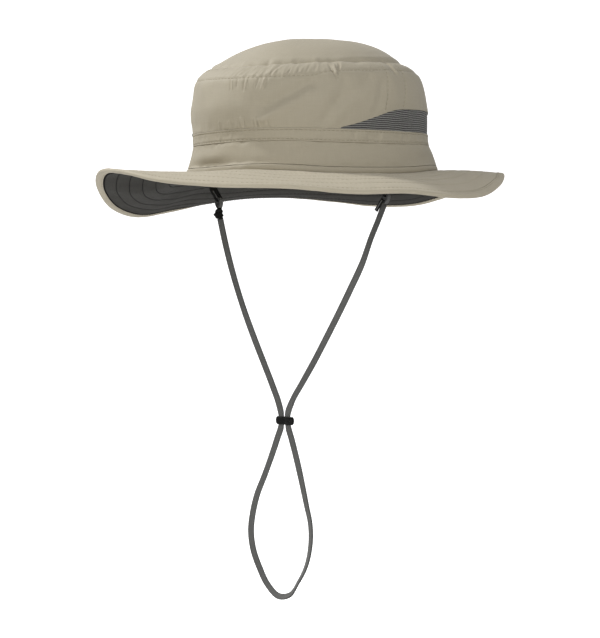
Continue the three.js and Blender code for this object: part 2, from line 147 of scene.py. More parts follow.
# ---- Stage, in metres ----
CAMERA_PLACE = (0.65961, -0.94202, -0.030)
CAMERA_FORWARD = (-0.579617, 0.811957, -0.069060)
CAMERA_UP = (-0.040124, 0.056208, 0.997613)
KEY_PLACE, KEY_SIZE = (-1.348, -0.336, 1.439), 0.2
FILL_PLACE, FILL_SIZE = (1.102, -1.411, 0.188), 1.2
BACKDROP_TURN = 35.5
# The floor's half width, its front edge, where it starts to bend up behind the hat, the radius
# of that bend, and the top of its wall.
FLOOR_SIZES = (5.0, -3.0, 1.8, 1.2, 4.5)

# Crown outline: level above the base, size against the base oval, and its lean.
CROWN_LEVELS = (
    (0, 1.0, 0), (5, 0.99, 0), (13, 0.963, 0.2), (21, 0.936, 1.1), (25, 0.928, 1.4),
    (30, 0.939, 1.5), (44, 0.943, 1.9), (55, 0.93, 2.2), (64, 0.912, 2.9), (70, 0.886, 3.4),
    (73.5, 0.853, 3.9), (76.5, 0.812, 4.2), (79, 0.755, 4.9),
)
LEAN_TOWARD = 215

# Round the hat, a row every 15 degrees. Crown: how much higher than its level the base,
# the channel and the tip's seam lie. Brim: height of its edge, how late it bends down to
# it, and the crest of the roll between.
ROUND_STEP = 15
ROUND_NAMES = ("base", "channel", "tip", "edge", "bend", "crest")
ROUND_ROWS = (
    (0.1, 0.5, 1.3, -17.4, 2.4, 0.1),
    (2.1, 0.8, 2.7, -9.4, 3, 0.7),
    (2.4, 0.95, 2.9, -1.2, 3, 0.7),
    (1.8, 0.9, 3.9, -2, 3, 0.6),
    (1, 0.7, 4.2, -8, 2.2, -1),
    (0.4, 0.4, 4.2, -14.6, 1.8, -4),
    (0, 0.2, 4, -22.1, 1.6, -6),
    (-0.2, 0, 3.5, -22.8, 1.5, -6),
    (-0.3, -0.2, 2.9, -18.7, 1.5, -5.8),
    (-0.3, -0.3, 2.3, -15.3, 1.5, -5.9),
    (-0.2, -0.4, 1.8, -15.9, 1.5, -6.3),
    (0, -0.5, 1.3, -20.8, 1.6, -7.3),
    (0, -0.6, 0.6, -28.2, 1.9, -7.2),
    (0, -0.8, 0, -31.9, 2, -10.3),
    (-0.4, -0.9, -1.1, -25.1, 2.6, -13.3),
    (-0.8, -0.9, -2.1, -10.5, 3.1, -10.6),
    (-1.1, -0.7, -3.6, -0.4, 3, 0.6),
    (-1.1, -0.35, -4.4, -1.2, 2.9, 0.8),
    (-0.3, 0.3, -4.6, -8.3, 2.8, 0.4),
    (0.7, 0.8, -4.2, -11.8, 1.9, 1.1),
    (0.2, 0.85, -3.3, -12.6, 1.4, 0),
    (-1.3, 0.6, -2.2, -16.2, 2.1, 0),
    (-1.5, 0.45, -1.1, -15.8, 2.4, 0),
    (-1.1, 0.4, 0, -18.7, 2.4, 0),
)

# Mesh vent on each side: angle ahead of (-) or behind (+) the side, and its height.
VENT_HEIGHTS = (
    (-37, 0.9), (-29, 4.3), (-20, 8.9), (-11, 13.4), (-5, 15.2), (4, 15.7), (30, 16), (46, 13.5),
    (60, 7.5), (72, 0.9),
)

# Topstitching under the seam of the tip: angle and level.
TOPSTITCH_LEVELS = (
    (-180, 70), (-102, 69.3), (-69, 68.2), (-50, 69), (-36, 72), (10, 72.8), (90, 72), (180, 70),
)

# Folds of the side panels: start and end (angle, level), width, and height of the ridge (+)
# or depth of the valley (-).
PANEL_FOLDS = (
    (-72, 44, -50, 62, 5, -2.4),
    (-72, 50, -50, 66, 8.5, -1.3),
    (-74, 33, -52, 55, 4.4, 1.2),
    (-34, 62, -47, 28, 4.2, -1),
    (-20, 66, -37, 49, 4.2, -1.4),
    (-28, 58, -38, 38, 4.5, 0.7),
    (-14, 61, -19, 42, 3.6, -0.8),
    (-100, 64, -88, 60, 6, -0.5),
    (-112, 60, -104, 42, 8, 0.6),
    (-150, 62, -162, 44, 5, -0.9),
    (-134, 40, -142, 56, 5, 0.7),
    (40, 62, 52, 46, 5, -1),
    (78, 40, 96, 60, 6, 0.9),
    (118, 64, 106, 46, 4.5, -1),
    (150, 42, 160, 60, 5, 0.8),
)

# Small sharp creases: start and end (angle, level), width and height.
PANEL_CREASES = (
    (-39, 75.5, -37.2, 66.5, 0.9, -1.3),
    (-36.6, 75, -37.2, 69.5, 1.1, 1.1),
    (-33.2, 77, -36, 69.5, 0.8, -0.8),
    (0.5, 77.5, -1.5, 70.5, 1.1, -1.2),
    (2, 77, 0.8, 71, 1.1, 0.7),
    (-91, 67.5, -90.5, 60, 0.7, -0.45),
    (-89.8, 67, -89.5, 61, 0.7, 0.4),
    (-86.5, 67.5, -86.8, 62, 0.7, -0.4),
    (-82.3, 67, -82.8, 59, 0.8, -0.5),
    (-81, 67, -81.6, 60, 0.7, 0.45),
    (-74.8, 66.5, -76.5, 60, 0.8, -0.5),
    (-71.5, 66.5, -73.5, 58, 0.8, 0.6),
    (-70.2, 66.5, -72, 59, 0.8, -0.45),
    (-97, 29, -97.3, 35, 0.8, 0.35),
    (-91, 29, -91.2, 34.5, 0.8, 0.4),
    (-83.5, 29, -83.8, 37, 0.8, 0.5),
    (-82, 29, -82.2, 35, 0.7, -0.4),
    (-76.5, 29, -77, 36, 0.7, 0.45),
    (-75.5, 29, -75.8, 36, 0.6, -0.4),
    (-74.5, 29, -74.8, 35.5, 0.7, 0.5),
    (-70, 29, -70.3, 34, 0.7, -0.35),
)

# Dents of the lower band: centre angle and level, width in degrees, height, and depth.
BAND_DENTS = (
    (-104, 5.8, 15, 3.8, -4.2),
    (-74, 5.6, 13, 3.2, -0.6),
    (-54.5, 15.5, 1.6, 3.4, 0.9),
    (-58, 15.5, 2.2, 3.4, -0.5),
    (8, 9, 12, 4.5, -0.9),
    (60, 8, 16, 5.0, -0.7),
    (120, 9, 18, 5.0, 0.6),
    (190, 8, 20, 5.0, -0.6),
)

# Chin strap, from the wearer's right down through the slider, round the loop and back up
# through the slider to the left: metres.
STRAP_ROUTE = (
    (-0.0776, -0.0338), (-0.0731, -0.051), (-0.0624, -0.084), (-0.054, -0.105), (-0.0443, -0.126),
    (-0.0347, -0.1454), (-0.0268, -0.1616), (-0.0217, -0.173), (-0.0191, -0.182), (-0.0191, -0.191),
    (-0.0227, -0.201), (-0.0278, -0.214), (-0.0349, -0.2306), (-0.0427, -0.248), (-0.0465, -0.262),
    (-0.0482, -0.275), (-0.0461, -0.2896), (-0.04, -0.3034), (-0.0319, -0.316), (-0.0218, -0.3232),
    (-0.0114, -0.321), (-0.0031, -0.31), (0.0042, -0.2966), (0.0081, -0.281), (0.0082, -0.2646),
    (0.0045, -0.2494), (-0.0048, -0.2146), (-0.0091, -0.201), (-0.0124, -0.191), (-0.0129, -0.182),
    (-0.0087, -0.1714), (0.0007, -0.1568), (0.011, -0.141), (0.0222, -0.1226), (0.0443, -0.0844),
    (0.0544, -0.0656), (0.062, -0.047), (0.068, -0.0344), (0.073, -0.0232),
)
# How the tape turns on its way: share of its length, and turn out of the plane it hangs in.
STRAP_TURNS = (
    (0, 38), (0.05, 30), (0.1, 16), (0.15, 28), (0.2, 24), (0.24, 28), (0.2465, 6), (0.2555, 6),
    (0.262, 28), (0.285, 22), (0.31, 12), (0.335, 14), (0.364, 30), (0.4, 34), (0.43, 40),
    (0.455, 22), (0.475, 20), (0.5, 36), (0.515, 43), (0.545, 30), (0.576, 16), (0.606, 8),
    (0.636, -8), (0.667, -22), (0.697, -25), (0.705, -24), (0.7125, -6), (0.7205, -6), (0.728, -26),
    (0.745, -4), (0.765, -6), (0.788, -14), (0.818, -18), (0.848, -22), (0.879, -24), (0.909, -24),
    (0.93, -10), (0.945, 2), (0.97, 6), (1, 2),
)


# ---- Properties ----
def amount(name, description, default, unit="NONE", **limits):
    limits = {"min": 0, **limits}
    return bpy.props.FloatProperty(
        name=name, description=description, default=default, unit=unit, **limits
    )


def length(name, description, millimetres):
    return amount(name, description, millimetres * MM, "LENGTH")


def colour(name, description, default):
    return bpy.props.FloatVectorProperty(
        name=name, description=description, default=default, subtype="COLOR", size=3, min=0, max=1
    )


class SunHatShape(bpy.types.PropertyGroup):
    """How deeply the hat's cloth is folded, puckered and stitched."""

    fold_depth: amount("Fold depth", "Strength of the crown's soft folds", 1.0, max=2)
    pucker_depth: length("Pucker depth", "Height of the puckers along the crown's seams", 0.9)
    quilt_depth: length("Quilting depth", "How far the brim swells between its stitches", 0.26)
    stitch_length: length("Stitch length", "Length of one stitch", 2.4)
    stitch_gap: length("Stitch gap", "Gap between two stitches", 0.9)
    thread: length("Thread", "Diameter of the sewing thread", 0.45)
    tape_width: length("Tape width", "Width of the chin strap's tape", 4.8)


class SunHatColours(bpy.types.PropertyGroup):
    """The hat's colours."""

    khaki: colour("Khaki cloth", "Crown", (0.392, 0.351, 0.265))
    khaki_thread: colour("Khaki thread", "Topstitching on the crown", (0.33, 0.295, 0.218))
    # The brim's cloth and thread are the crown's khaki painted lighter: painted light for the stronger
    # light on the brim's top, used also on its binding.
    khaki_brim: colour("Brim cloth", "Top of the brim and its binding", (0.45, 0.403, 0.306))
    brim_thread: colour("Brim thread", "Stitching on the brim", (0.45, 0.403, 0.306))
    charcoal: colour("Charcoal cloth", "Underside of the brim", (0.0315, 0.0295, 0.0245))
    charcoal_thread: colour("Charcoal thread", "Stitching under the brim", (0.005, 0.005, 0.0045))
    mesh_rib: colour("Mesh ribs", "Vent mesh", (0.225, 0.222, 0.21))
    tape: colour("Tape", "Chin strap", (0.105, 0.105, 0.100))
    webbing: colour("Webbing", "Tabs and wrap", (0.012, 0.012, 0.011))
    plastic: colour("Plastic", "Slider", (0.0035, 0.0035, 0.003))


class SunHatStage(bpy.types.PropertyGroup):
    """Camera, floor and light."""

    lens: amount("Lens", "Focal length", 85.6, "CAMERA", min=10, max=300)
    floor_level: amount("Floor", "Height of the floor", -0.352, "LENGTH", min=-1)
    key: amount("Key light", "Power of the main lamp", 31.5, "POWER")
    fill: amount("Fill light", "Power of the second lamp", 12.6, "POWER")
    surround: amount("Surround", "Brightness of the room's walls", 0.3, max=5)
    ceiling: amount("Ceiling", "Brightness of the room's ceiling", 0.65, max=5)
    glow: amount("Floor glow", "Light that the pale floor gives of its own", 0.75)


# ---- Tables and curves ----
def cubic(low, high, leaving, arriving, width, t):
    """A cubic from low to high whose slopes at its ends are given."""
    return (
        low * (1 + 2 * t) * (1 - t) ** 2
        + high * t**2 * (3 - 2 * t)
        + width * (leaving * t * (1 - t) ** 2 + arriving * t**2 * (t - 1))
    )


def unit(vectors):
    return vectors / np.linalg.norm(vectors, axis=-1, keepdims=True)


def run_along(path):
    """Distance from a path's start to each of its points."""
    return np.concatenate(([0], np.cumsum(np.linalg.norm(np.diff(path, axis=0), axis=1))))


def place_on(path, run, at):
    """Points of a path at these distances from its start."""
    return np.stack([np.interp(at, run, path[:, k]) for k in range(3)], axis=-1)


def smooth(at, rows, column):
    """Reads a table's column on a smooth curve through its rows that doesn't overshoot."""
    rows = np.asarray(rows, float)
    x, y = rows[:, 0], rows[:, column]
    slope = np.diff(y) / np.diff(x)
    both, product = slope[:-1] + slope[1:], slope[:-1] * slope[1:]
    inner = np.where(product > 0, 2 * product / np.where(both == 0, 1, both), 0)
    tangent = np.concatenate((slope[:1], inner, slope[-1:]))
    at = np.clip(at, x[0], x[-1])
    low = np.clip(np.searchsorted(x, at, side="right") - 1, 0, len(x) - 2)
    width = x[low + 1] - x[low]
    t = (at - x[low]) / width
    return cubic(y[low], y[low + 1], tangent[low], tangent[low + 1], width, t)


def round_the_hat(name, angle):
    """Reads a column of the table round the hat, on a smooth curve that closes on itself."""
    values = np.array([row[ROUND_NAMES.index(name)] for row in ROUND_ROWS])
    place = np.asarray(angle, float) / ROUND_STEP % len(values)
    row = np.floor(place).astype(int)
    t = place - row
    a, b, c, d = (values[(row + step) % len(values)] for step in (-1, 0, 1, 2))
    return b + 0.5 * t * (c - a + t * (2 * a - 5 * b + 4 * c - d + t * (3 * (b - c) + d - a)))


def turned(angle):
    """An angle as the one from -180 to 180 degrees."""
    return (angle + 180) % 360 - 180


def cosine(degrees):
    return np.cos(np.radians(degrees))


def sine(degrees):
    return np.sin(np.radians(degrees))


def bell(distance, width):
    """Falls smoothly from 1 to 0 within about two widths."""
    return np.exp(-((distance / width) ** 2))


def ease(value):
    """Rises smoothly from 0 to 1."""
    value = np.clip(value, 0, 1)
    return value * value * (3 - 2 * value)


def ripple(angle, level, seed, around, tall=1.0):
    """Smooth seeded noise from -1 to 1: `around` cells in one turn, each `tall` high."""
    rows = 64
    table = np.random.default_rng(seed).uniform(-1, 1, (around, rows))
    u, v = np.broadcast_arrays(np.asarray(angle, float) / 360 % 1 * around, np.asarray(level) / tall)
    i, j = np.floor(u).astype(int), np.floor(v).astype(int)
    su, sv = ease(u - i), ease(v - j)
    a, b, c, d = (table[(i + di) % around, (j + dj) % rows] for di in (0, 1) for dj in (0, 1))
    return (a * (1 - sv) + b * sv) * (1 - su) + (c * (1 - sv) + d * sv) * su


def waves(angle, level, rows):
    """Adds up the rows of a table of smooth noise."""
    return sum(height * ripple(angle, level, *cells) for height, *cells in rows)


# ---- The hat's surfaces, in millimetres ----
def oval(angle, size, outward):
    """A point of the crown's oval outline, moved outward by a distance."""
    along, across = cosine(angle), sine(angle)
    normal = np.stack([along / HALF_WIDTH, across / HALF_LENGTH])
    normal = normal / np.linalg.norm(normal, axis=0)
    x = HALF_WIDTH * size * along + normal[0] * outward
    y = HALF_LENGTH * size * across + normal[1] * outward
    return x, y


def height_of(angle, level):
    """Height of a level, which lies higher or lower round the soft hat."""
    base, channel, tip = (round_the_hat(name, angle) for name in ("base", "channel", "tip"))
    low = base + (channel - base) * level / CHANNEL_LEVEL
    high = channel + (tip - channel) * (level - CHANNEL_LEVEL) / (TIP_LEVEL - CHANNEL_LEVEL)
    return level + np.where(level <= CHANNEL_LEVEL, low, high)


def crown_point(angle, level, outward=0.0):
    """A point of the crown's wall, at an angle and a level."""
    lean = smooth(level, CROWN_LEVELS, 2)
    x, y = oval(angle, smooth(level, CROWN_LEVELS, 1), outward)
    x, y = x + lean * cosine(LEAN_TOWARD), y + lean * sine(LEAN_TOWARD)
    return np.stack(np.broadcast_arrays(x, y, height_of(angle, level)), axis=-1)


def tip_point(angle, from_centre):
    """A point of the domed tip: 0 at its centre and 1 at its seam."""
    rim = crown_point(angle, TIP_LEVEL)
    rim[..., 2] += CLEARANCE / 2
    centre = (crown_point(angle, TIP_LEVEL) + crown_point(angle + 180, TIP_LEVEL)) / 2
    point = centre + (rim - centre) * from_centre[..., None]
    middle = crown_point(np.arange(0, 360, 15.0), TIP_LEVEL)[:, 2].mean()
    seam = middle + (rim[..., 2] - middle) * from_centre**2
    fullness = TIP_FULLNESS + 0.5 * cosine(angle - 35)
    point[..., 2] = seam + TIP_RISE * (1 - from_centre**fullness)
    return point


def brim_width(angle):
    mean = (BRIM_FRONT + BRIM_BACK) / 2
    return mean + (BRIM_FRONT - mean) * cosine(angle - 270)


def brim_point(angle, outward):
    """The middle of the brim, `outward` from the crown's base."""
    level = -(BRIM_LAYER + BRIM_SPLIT) - CLEARANCE + round_the_hat("base", angle)
    share = np.clip(outward - SEAM_STRIP_PROUD, 0, None) / (brim_width(angle) - SEAM_STRIP_PROUD)
    drop = (round_the_hat("edge", angle) - level) * share ** round_the_hat("bend", angle)
    crest = round_the_hat("crest", angle) * np.sin(math.pi * np.clip(share, 0, 1))
    x, y = oval(angle, 1.0, outward)
    return np.stack([x, y, level + drop + crest], axis=-1)


# ---- Meshes from grids of points ----
def grid_normals(grid, ring):
    """Outward normals of a grid of columns round the hat by rows up it."""
    if ring:
        along = np.roll(grid, -1, axis=0) - np.roll(grid, 1, axis=0)
    else:
        along = np.gradient(grid, axis=0)
    normal = np.cross(along, np.gradient(grid, axis=1))
    length = np.linalg.norm(normal, axis=-1, keepdims=True)
    return np.where(length < 1e-9, (0.0, 0.0, 1.0), normal / np.maximum(length, 1e-9))


def pattern_places(grid, ring, plan):
    """Where each point of a grid lies in its cloth's pattern: seen from above, or unrolled."""
    closed = np.concatenate((grid, grid[:1])) if ring else grid
    if plan:
        return closed[..., 0], closed[..., 1]
    along = np.linalg.norm(np.diff(closed, axis=0), axis=-1).mean(axis=1)
    up = np.linalg.norm(np.diff(closed, axis=1), axis=-1).mean(axis=0)
    runs = [np.concatenate(([0], np.cumsum(steps))) for steps in (along, up)]
    return np.meshgrid(*runs, indexing="ij")


def shell(outer, inner, ring=True, pole=False, plan=False):
    """A closed wall between two grids: its points, four-cornered faces and pattern places.

    In a ring the columns close on themselves, and with a pole the last row is one point.
    """
    columns, rows = outer.shape[:2]
    index = np.arange(2 * columns * rows).reshape(2, columns, rows)
    if pole:
        index[:, :, -1] = index[:, :1, -1]
    if ring:
        index = np.concatenate((index, index[:, :1]), axis=1)
    u, v = pattern_places(outer, ring, plan)
    faces, coords = [], []
    first, last = slice(None, -1), slice(1, None)

    def add(*corners):
        faces.append(np.stack([index[corner].ravel() for corner in corners], -1))
        places = [np.stack([u[c[1:]].ravel(), v[c[1:]].ravel()], -1) for c in corners]
        coords.append(np.stack(places, 1))

    add((0, first, first), (0, last, first), (0, last, last), (0, first, last))
    add((1, last, first), (1, first, first), (1, first, last), (1, last, last))
    for row, a, b in ((0, 1, 0),) if pole else ((0, 1, 0), (-1, 0, 1)):
        add((a, first, row), (a, last, row), (b, last, row), (b, first, row))
    if not ring:
        for column, a, b in ((0, 0, 1), (-1, 1, 0)):
            add((a, column, first), (a, column, last), (b, column, last), (b, column, first))
    points = np.concatenate([outer.reshape(-1, 3), inner.reshape(-1, 3)])
    return points, np.concatenate(faces), np.concatenate(coords)


def put_piece(name, built, material, nodes=(), relief=None):
    """Makes a closed mesh piece in metres, with its pattern places, and ties it to the frame."""
    points, faces, coords = built[0] * MM, built[1], built[2] * MM
    used, packed = np.unique(faces, return_inverse=True)
    points, faces = points[used], packed.reshape(faces.shape)
    a, b, c, d = (points[faces[:, k]] for k in range(4))
    volume = np.einsum("ij,ij->", a, np.cross(b, c)) + np.einsum("ij,ij->", a, np.cross(c, d))
    if volume < 0:
        turned = [1, 0, 3, 2]
        faces, coords = faces[:, turned], coords[:, turned]
    # A face whose last two corners are one point is a triangle.
    keep = np.ones(faces.shape, bool)
    keep[:, 3] = faces[:, 2] != faces[:, 3]
    sizes = keep.sum(axis=1)
    mesh = bpy.data.meshes.new(name)
    mesh.vertices.add(len(points))
    mesh.vertices.foreach_set("co", points.ravel())
    mesh.loops.add(int(sizes.sum()))
    mesh.loops.foreach_set("vertex_index", faces[keep].astype(np.int32))
    mesh.polygons.add(len(faces))
    starts = np.concatenate(([0], np.cumsum(sizes)[:-1]))
    mesh.polygons.foreach_set("loop_start", starts.astype(np.int32))
    mesh.update(calc_edges=True)
    layer = mesh.uv_layers.new(name="cloth")
    layer.data.foreach_set("uv", coords[keep].astype(np.float32).ravel())
    # The vents' relief attribute holds rib heights faded at the top edge; their material paints shade
    # from it.
    if relief is not None:
        attribute = mesh.attributes.new("relief", "FLOAT", "POINT")
        attribute.data.foreach_set("value", relief[used].astype(np.float32))
    mesh.validate()
    return finish_piece(bpy.data.objects.new(name, mesh), material, nodes)


def finish_piece(piece, material, nodes=()):
    """Shades a piece, gives it its material and ties it to the frame."""
    mesh = piece.data
    mesh.polygons.foreach_set("use_smooth", np.ones(len(mesh.polygons), bool))
    mesh.set_sharp_from_angle(angle=math.radians(55))
    mesh.materials.clear()
    mesh.materials.append(material)
    if piece.name not in bpy.context.scene.collection.all_objects:
        bpy.context.scene.collection.objects.link(piece)
    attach(piece, "root")
    if nodes:
        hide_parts(*nodes)
    return piece


def raised(grid, rise, ring=True):
    """A grid moved outward along its normals."""
    return grid + grid_normals(grid, ring) * rise[..., None]


def cloth_wall(grid, relief, thickness, ring=True, pole=False, plan=False):
    """A wall of cloth: its outer face carries the relief, its inner face follows it softly."""
    outer, inner = raised(grid, relief, ring), raised(grid, 0.6 * relief - thickness, ring)
    return shell(outer, inner, ring, pole, plan)


def tube(rings, sides):
    """Faces between rings of points that follow one another, and each corner's ring and side."""
    ring, side = (part.reshape(-1, 1) for part in np.indices((rings - 1, sides)))
    ring, side = ring + (0, 0, 1, 1), side + (0, 1, 1, 0)
    return ring * sides + side % sides, ring, side


def joined(*parts):
    """Several closed shells as one mesh."""
    starts = np.cumsum([0, *(len(points) for points, _, _ in parts)])
    faces = [faces + start for start, (_, faces, _) in zip(starts, parts)]
    points, _, coords = zip(*parts)
    return np.concatenate(points), np.concatenate(faces), np.concatenate(coords)


def rows_between(low, high, step, lines=(), reach=1.4):
    """Row places that lie close together at each sewn line and `step` apart elsewhere."""
    near = [line + reach * k for line in lines for k in (-1, -0.6, -0.3, 0, 0.3, 0.6, 1)]
    apart = [p for p in np.arange(low, high, step) if all(abs(p - m) > reach * 1.2 for m in lines)]
    places = {round(float(p), 3) for p in (*near, *apart, low, high) if low <= p <= high}
    return np.array(sorted(places))


def turn_columns(count):
    """Evenly spaced angles round the hat."""
    return np.arange(count) * 360 / count


def dip(at, line, depth=0.45, width=0.75):
    """The dip that a row of stitches pulls into cloth."""
    return -depth * bell(at - line, width)


def turned_in(level, low, high):
    """How far cloth sinks where it is turned in behind its neighbours."""
    return -TURN_IN_DEPTH * ((level < low) | (level > high))


# ---- Relief of each cloth, in millimetres outward from its surface ----
def pucker_depth():
    """Depth of the puckers, in millimetres."""
    return bpy.context.scene.sun_hat_shape.pucker_depth / MM


def folds(angle, level, table):
    """Ridges and valleys along short lines on the crown."""
    total = np.zeros(np.broadcast_shapes(np.shape(angle), np.shape(level)))
    for a0, l0, a1, l1, width, height in table:
        line = np.array([(a1 - a0) * MM_PER_DEGREE, l1 - l0])
        length = np.linalg.norm(line)
        dx, dy = turned(angle - a0) * MM_PER_DEGREE, level - l0
        t = (dx * line[0] + dy * line[1]) / length**2
        off = (dx * line[1] - dy * line[0]) / length
        beyond = np.maximum(np.abs(t - 0.5) - 0.5, 0) * length
        total += height * bell(off, width) * bell(beyond, width * 1.2)
    return total


def vent_height(angle):
    """Height of the mesh at an angle, and 0 where there is none."""
    from_side = (np.asarray(angle, float) + 90) % 360 - 90
    ahead = np.where(from_side > 90, 180 - from_side, from_side)
    inside = (ahead >= VENT_HEIGHTS[0][0]) & (ahead <= VENT_HEIGHTS[-1][0])
    return np.where(inside, smooth(ahead, VENT_HEIGHTS, 1), 0)


def seam_pucker(angle):
    """Puckers along the seam of the crown's tip, strongest at the front and the left."""
    strong = 0.55 + 0.45 * cosine(angle + 85) + 0.25 * ripple(angle, 0, 5, 18)
    return pucker_depth() * np.clip(strong, 0.25, 1.3) * waves(angle, 0, TIP_PUCKERS)


def topstitch_level(angle):
    """Level of the row of stitches that curves over each vent."""
    return smooth(turned(np.asarray(angle, float)), TOPSTITCH_LEVELS, 1)


def side_seam(line, right, level):
    """Angle of a line of stitches beside a side seam."""
    ahead = line[0] + line[1] * (level - PANEL_MIDDLE)
    return 180 - ahead if right else ahead


def crown_relief(angle, level):
    """Folds, puckers and sewn lines of the crown's side panels."""
    fold_depth = bpy.context.scene.sun_hat_shape.fold_depth
    above, below = level - (CHANNEL_LEVEL + vent_height(angle)), TIP_LEVEL - level
    over_stitches = level - topstitch_level(angle)
    inside = ease(above / 7) * ease(below / 4.5)
    relief = inside * (folds(angle, level, PANEL_FOLDS) + waves(angle, level, PANEL_WAVES))
    relief = fold_depth * (relief + ease(above / 2) * folds(angle, level, PANEL_CREASES))
    relief += pucker_depth() * (tip_gathers(angle, level, over_stitches) + vent_gathers(angle, above))
    relief += bell(below, 2.2) * seam_pucker(angle)
    relief += dip(over_stitches, 0) + dip(-below, 0.2, 0.5, 0.9)
    for line in SIDE_SEAM_LINES:
        for right in (False, True):
            away = turned(angle - side_seam(line, right, level)) * MM_PER_DEGREE
            wave = 0.6 + 0.4 * ripple(np.zeros_like(angle) + line[0], level, 41, 9, 2.6)
            relief -= 0.5 * wave * bell(away, 1.0) * inside
    for side in SIDE_SEAM_RIDGES:
        relief += 0.55 * bell(turned(angle - side) * MM_PER_DEGREE, 5) * inside
    return relief


def tip_gathers(angle, level, over_stitches):
    """Small leaning gathers between the topstitching and the tip's seam, and soft ones below."""
    below = TIP_LEVEL - level
    strong = 0.3 + 0.7 * bell(turned(angle + 67), 20)
    gathered = ease((over_stitches + 1.2) / 2.4) * ease(below / 1.8)
    leaf = 0.75 * gathered * waves(angle + 0.45 * below, level, LEAF_GATHERS)
    under = 0.3 * bell(over_stitches + 3, 5) * waves(angle, level, UNDER_GATHERS)
    return strong * (leaf + under)


def vent_gathers(angle, above):
    """Puckers above the channel and the vents, strongest at the front."""
    near = 0.35 + 0.65 * bell(turned(angle + 88), 26)
    return 0.75 * near * bell(above, 6) * ease(above / 2) * waves(angle, 0, VENT_PUCKERS)


def tip_relief(angle, from_centre):
    """Soft waves of the domed tip, and the puckers that its seam pulls into it."""
    to_seam = (1 - from_centre) * TIP_RADIUS
    relief = waves(angle, to_seam, TIP_WAVES) * ease(from_centre * 1.6) * ease(to_seam / 4)
    relief += bell(to_seam, 3.6) * seam_pucker(angle)
    return relief + dip(to_seam, -0.2, 0.55, 0.9) + 0.28 * bell(to_seam - 3, 1.6)


def channel_relief(angle, level):
    """The drawcord channel: a soft tube gathered by its two rows of stitches."""
    low, high = CHANNEL_LOW, CHANNEL_LEVEL
    gather = waves(angle, level, CHANNEL_GATHERS) * (0.6 + 0.5 * ripple(angle, 0, 63, 16))
    full = bell(level - (low + high) / 2, 2.6)
    relief = 0.25 * full + pucker_depth() * (0.35 + 0.65 * full) * gather
    for line in CHANNEL_LINES:
        relief += dip(level, line, 0.42, 0.6)
    return relief - 0.55 * bell(np.minimum(level - low, high - level), 0.45)


def band_relief(angle, level):
    """The lower band: soft dents, and puckers against its neighbours."""
    above, below = level - SEAM_STRIP_HEIGHT, CHANNEL_LOW - level
    relief = waves(angle, level, BAND_WAVES)
    for centre, middle, wide, high, depth in BAND_DENTS:
        relief = relief + depth * bell(turned(angle - centre), wide) * bell(level - middle, high)
    relief = relief * ease(above / 1.8) * ease(below / 3)
    near = bell(above, 2.2) + bell(below, 2.4)
    puckers = 0.55 * pucker_depth() * near * waves(angle, 0, BAND_PUCKERS)
    return relief * bpy.context.scene.sun_hat_shape.fold_depth + puckers


def strip_relief(angle, level):
    """The welt over the brim's seam: a rounded fold of cloth."""
    rounded = np.minimum(level, SEAM_STRIP_HEIGHT - level)
    wave = 0.35 * pucker_depth() * ripple(angle, level, 81, 120, 6)
    return wave - 0.5 * bell(rounded, 0.55) + 0.08 * bell(level - SEAM_STRIP_HEIGHT / 2, 1)


def brim_relief(angle, inset, seed):
    """Quilting between the brim's rows of stitches, and its faint unevenness."""
    quilt = bpy.context.scene.sun_hat_shape.quilt_depth / MM
    relief = waves(angle, inset, ((0.22, seed, 46, 17), (0.1, seed + 1, 150, 7)))
    gathers = 0.5 * quilt * ripple(angle, inset, seed + 2, 170, 9)
    for line in BRIM_LINES:
        relief = relief + dip(inset, line, quilt * 1.15, 1.0) + gathers * bell(inset - line, 2.6)
    width = brim_width(angle)
    return relief * ease((inset - BINDING_WIDTH) / 1.5) * ease((width - 1 - inset) / 4)


def binding_half(inset):
    """Half the thickness of the folded binding, rounded at the brim's edge."""
    half = BINDING_THICKNESS / 2
    edge = np.clip(inset / 1.5, 0, 1)
    folded = np.sqrt(np.clip(1 - (1 - edge) ** 2, 0, 1)) * half
    return folded - 0.22 * bell(inset - BINDING_WIDTH, 0.5) - 0.28 * bell(inset - BINDING_LINE, 0.6)


def brim_face(angle, inset, side):
    """A face of the brim with its relief: side is 1 for the top and -1 for the underside."""
    seed = TOP_SEED if side > 0 else UNDERSIDE_SEED
    rise = BRIM_SPLIT + BRIM_LAYER + brim_relief(angle, inset, seed)
    return raised(brim_point(angle, brim_width(angle) - inset), side * rise)


def binding_face(angle, inset, side):
    """One face of the binding on the brim's edge."""
    wave = 0.12 * ripple(angle, inset, 101, 150, 9) * ease(inset)
    rise = binding_half(inset) + wave
    return raised(brim_point(angle, brim_width(angle) - inset), side * rise)


def crown_face(angle, level):
    """The outer face of the crown's cloth."""
    return raised(crown_point(angle, level), crown_relief(angle, level))


def channel_face(angle, level):
    """The outer face of the narrow channel round the crown."""
    return raised(crown_point(angle, level, CHANNEL_PROUD), channel_relief(angle, level))


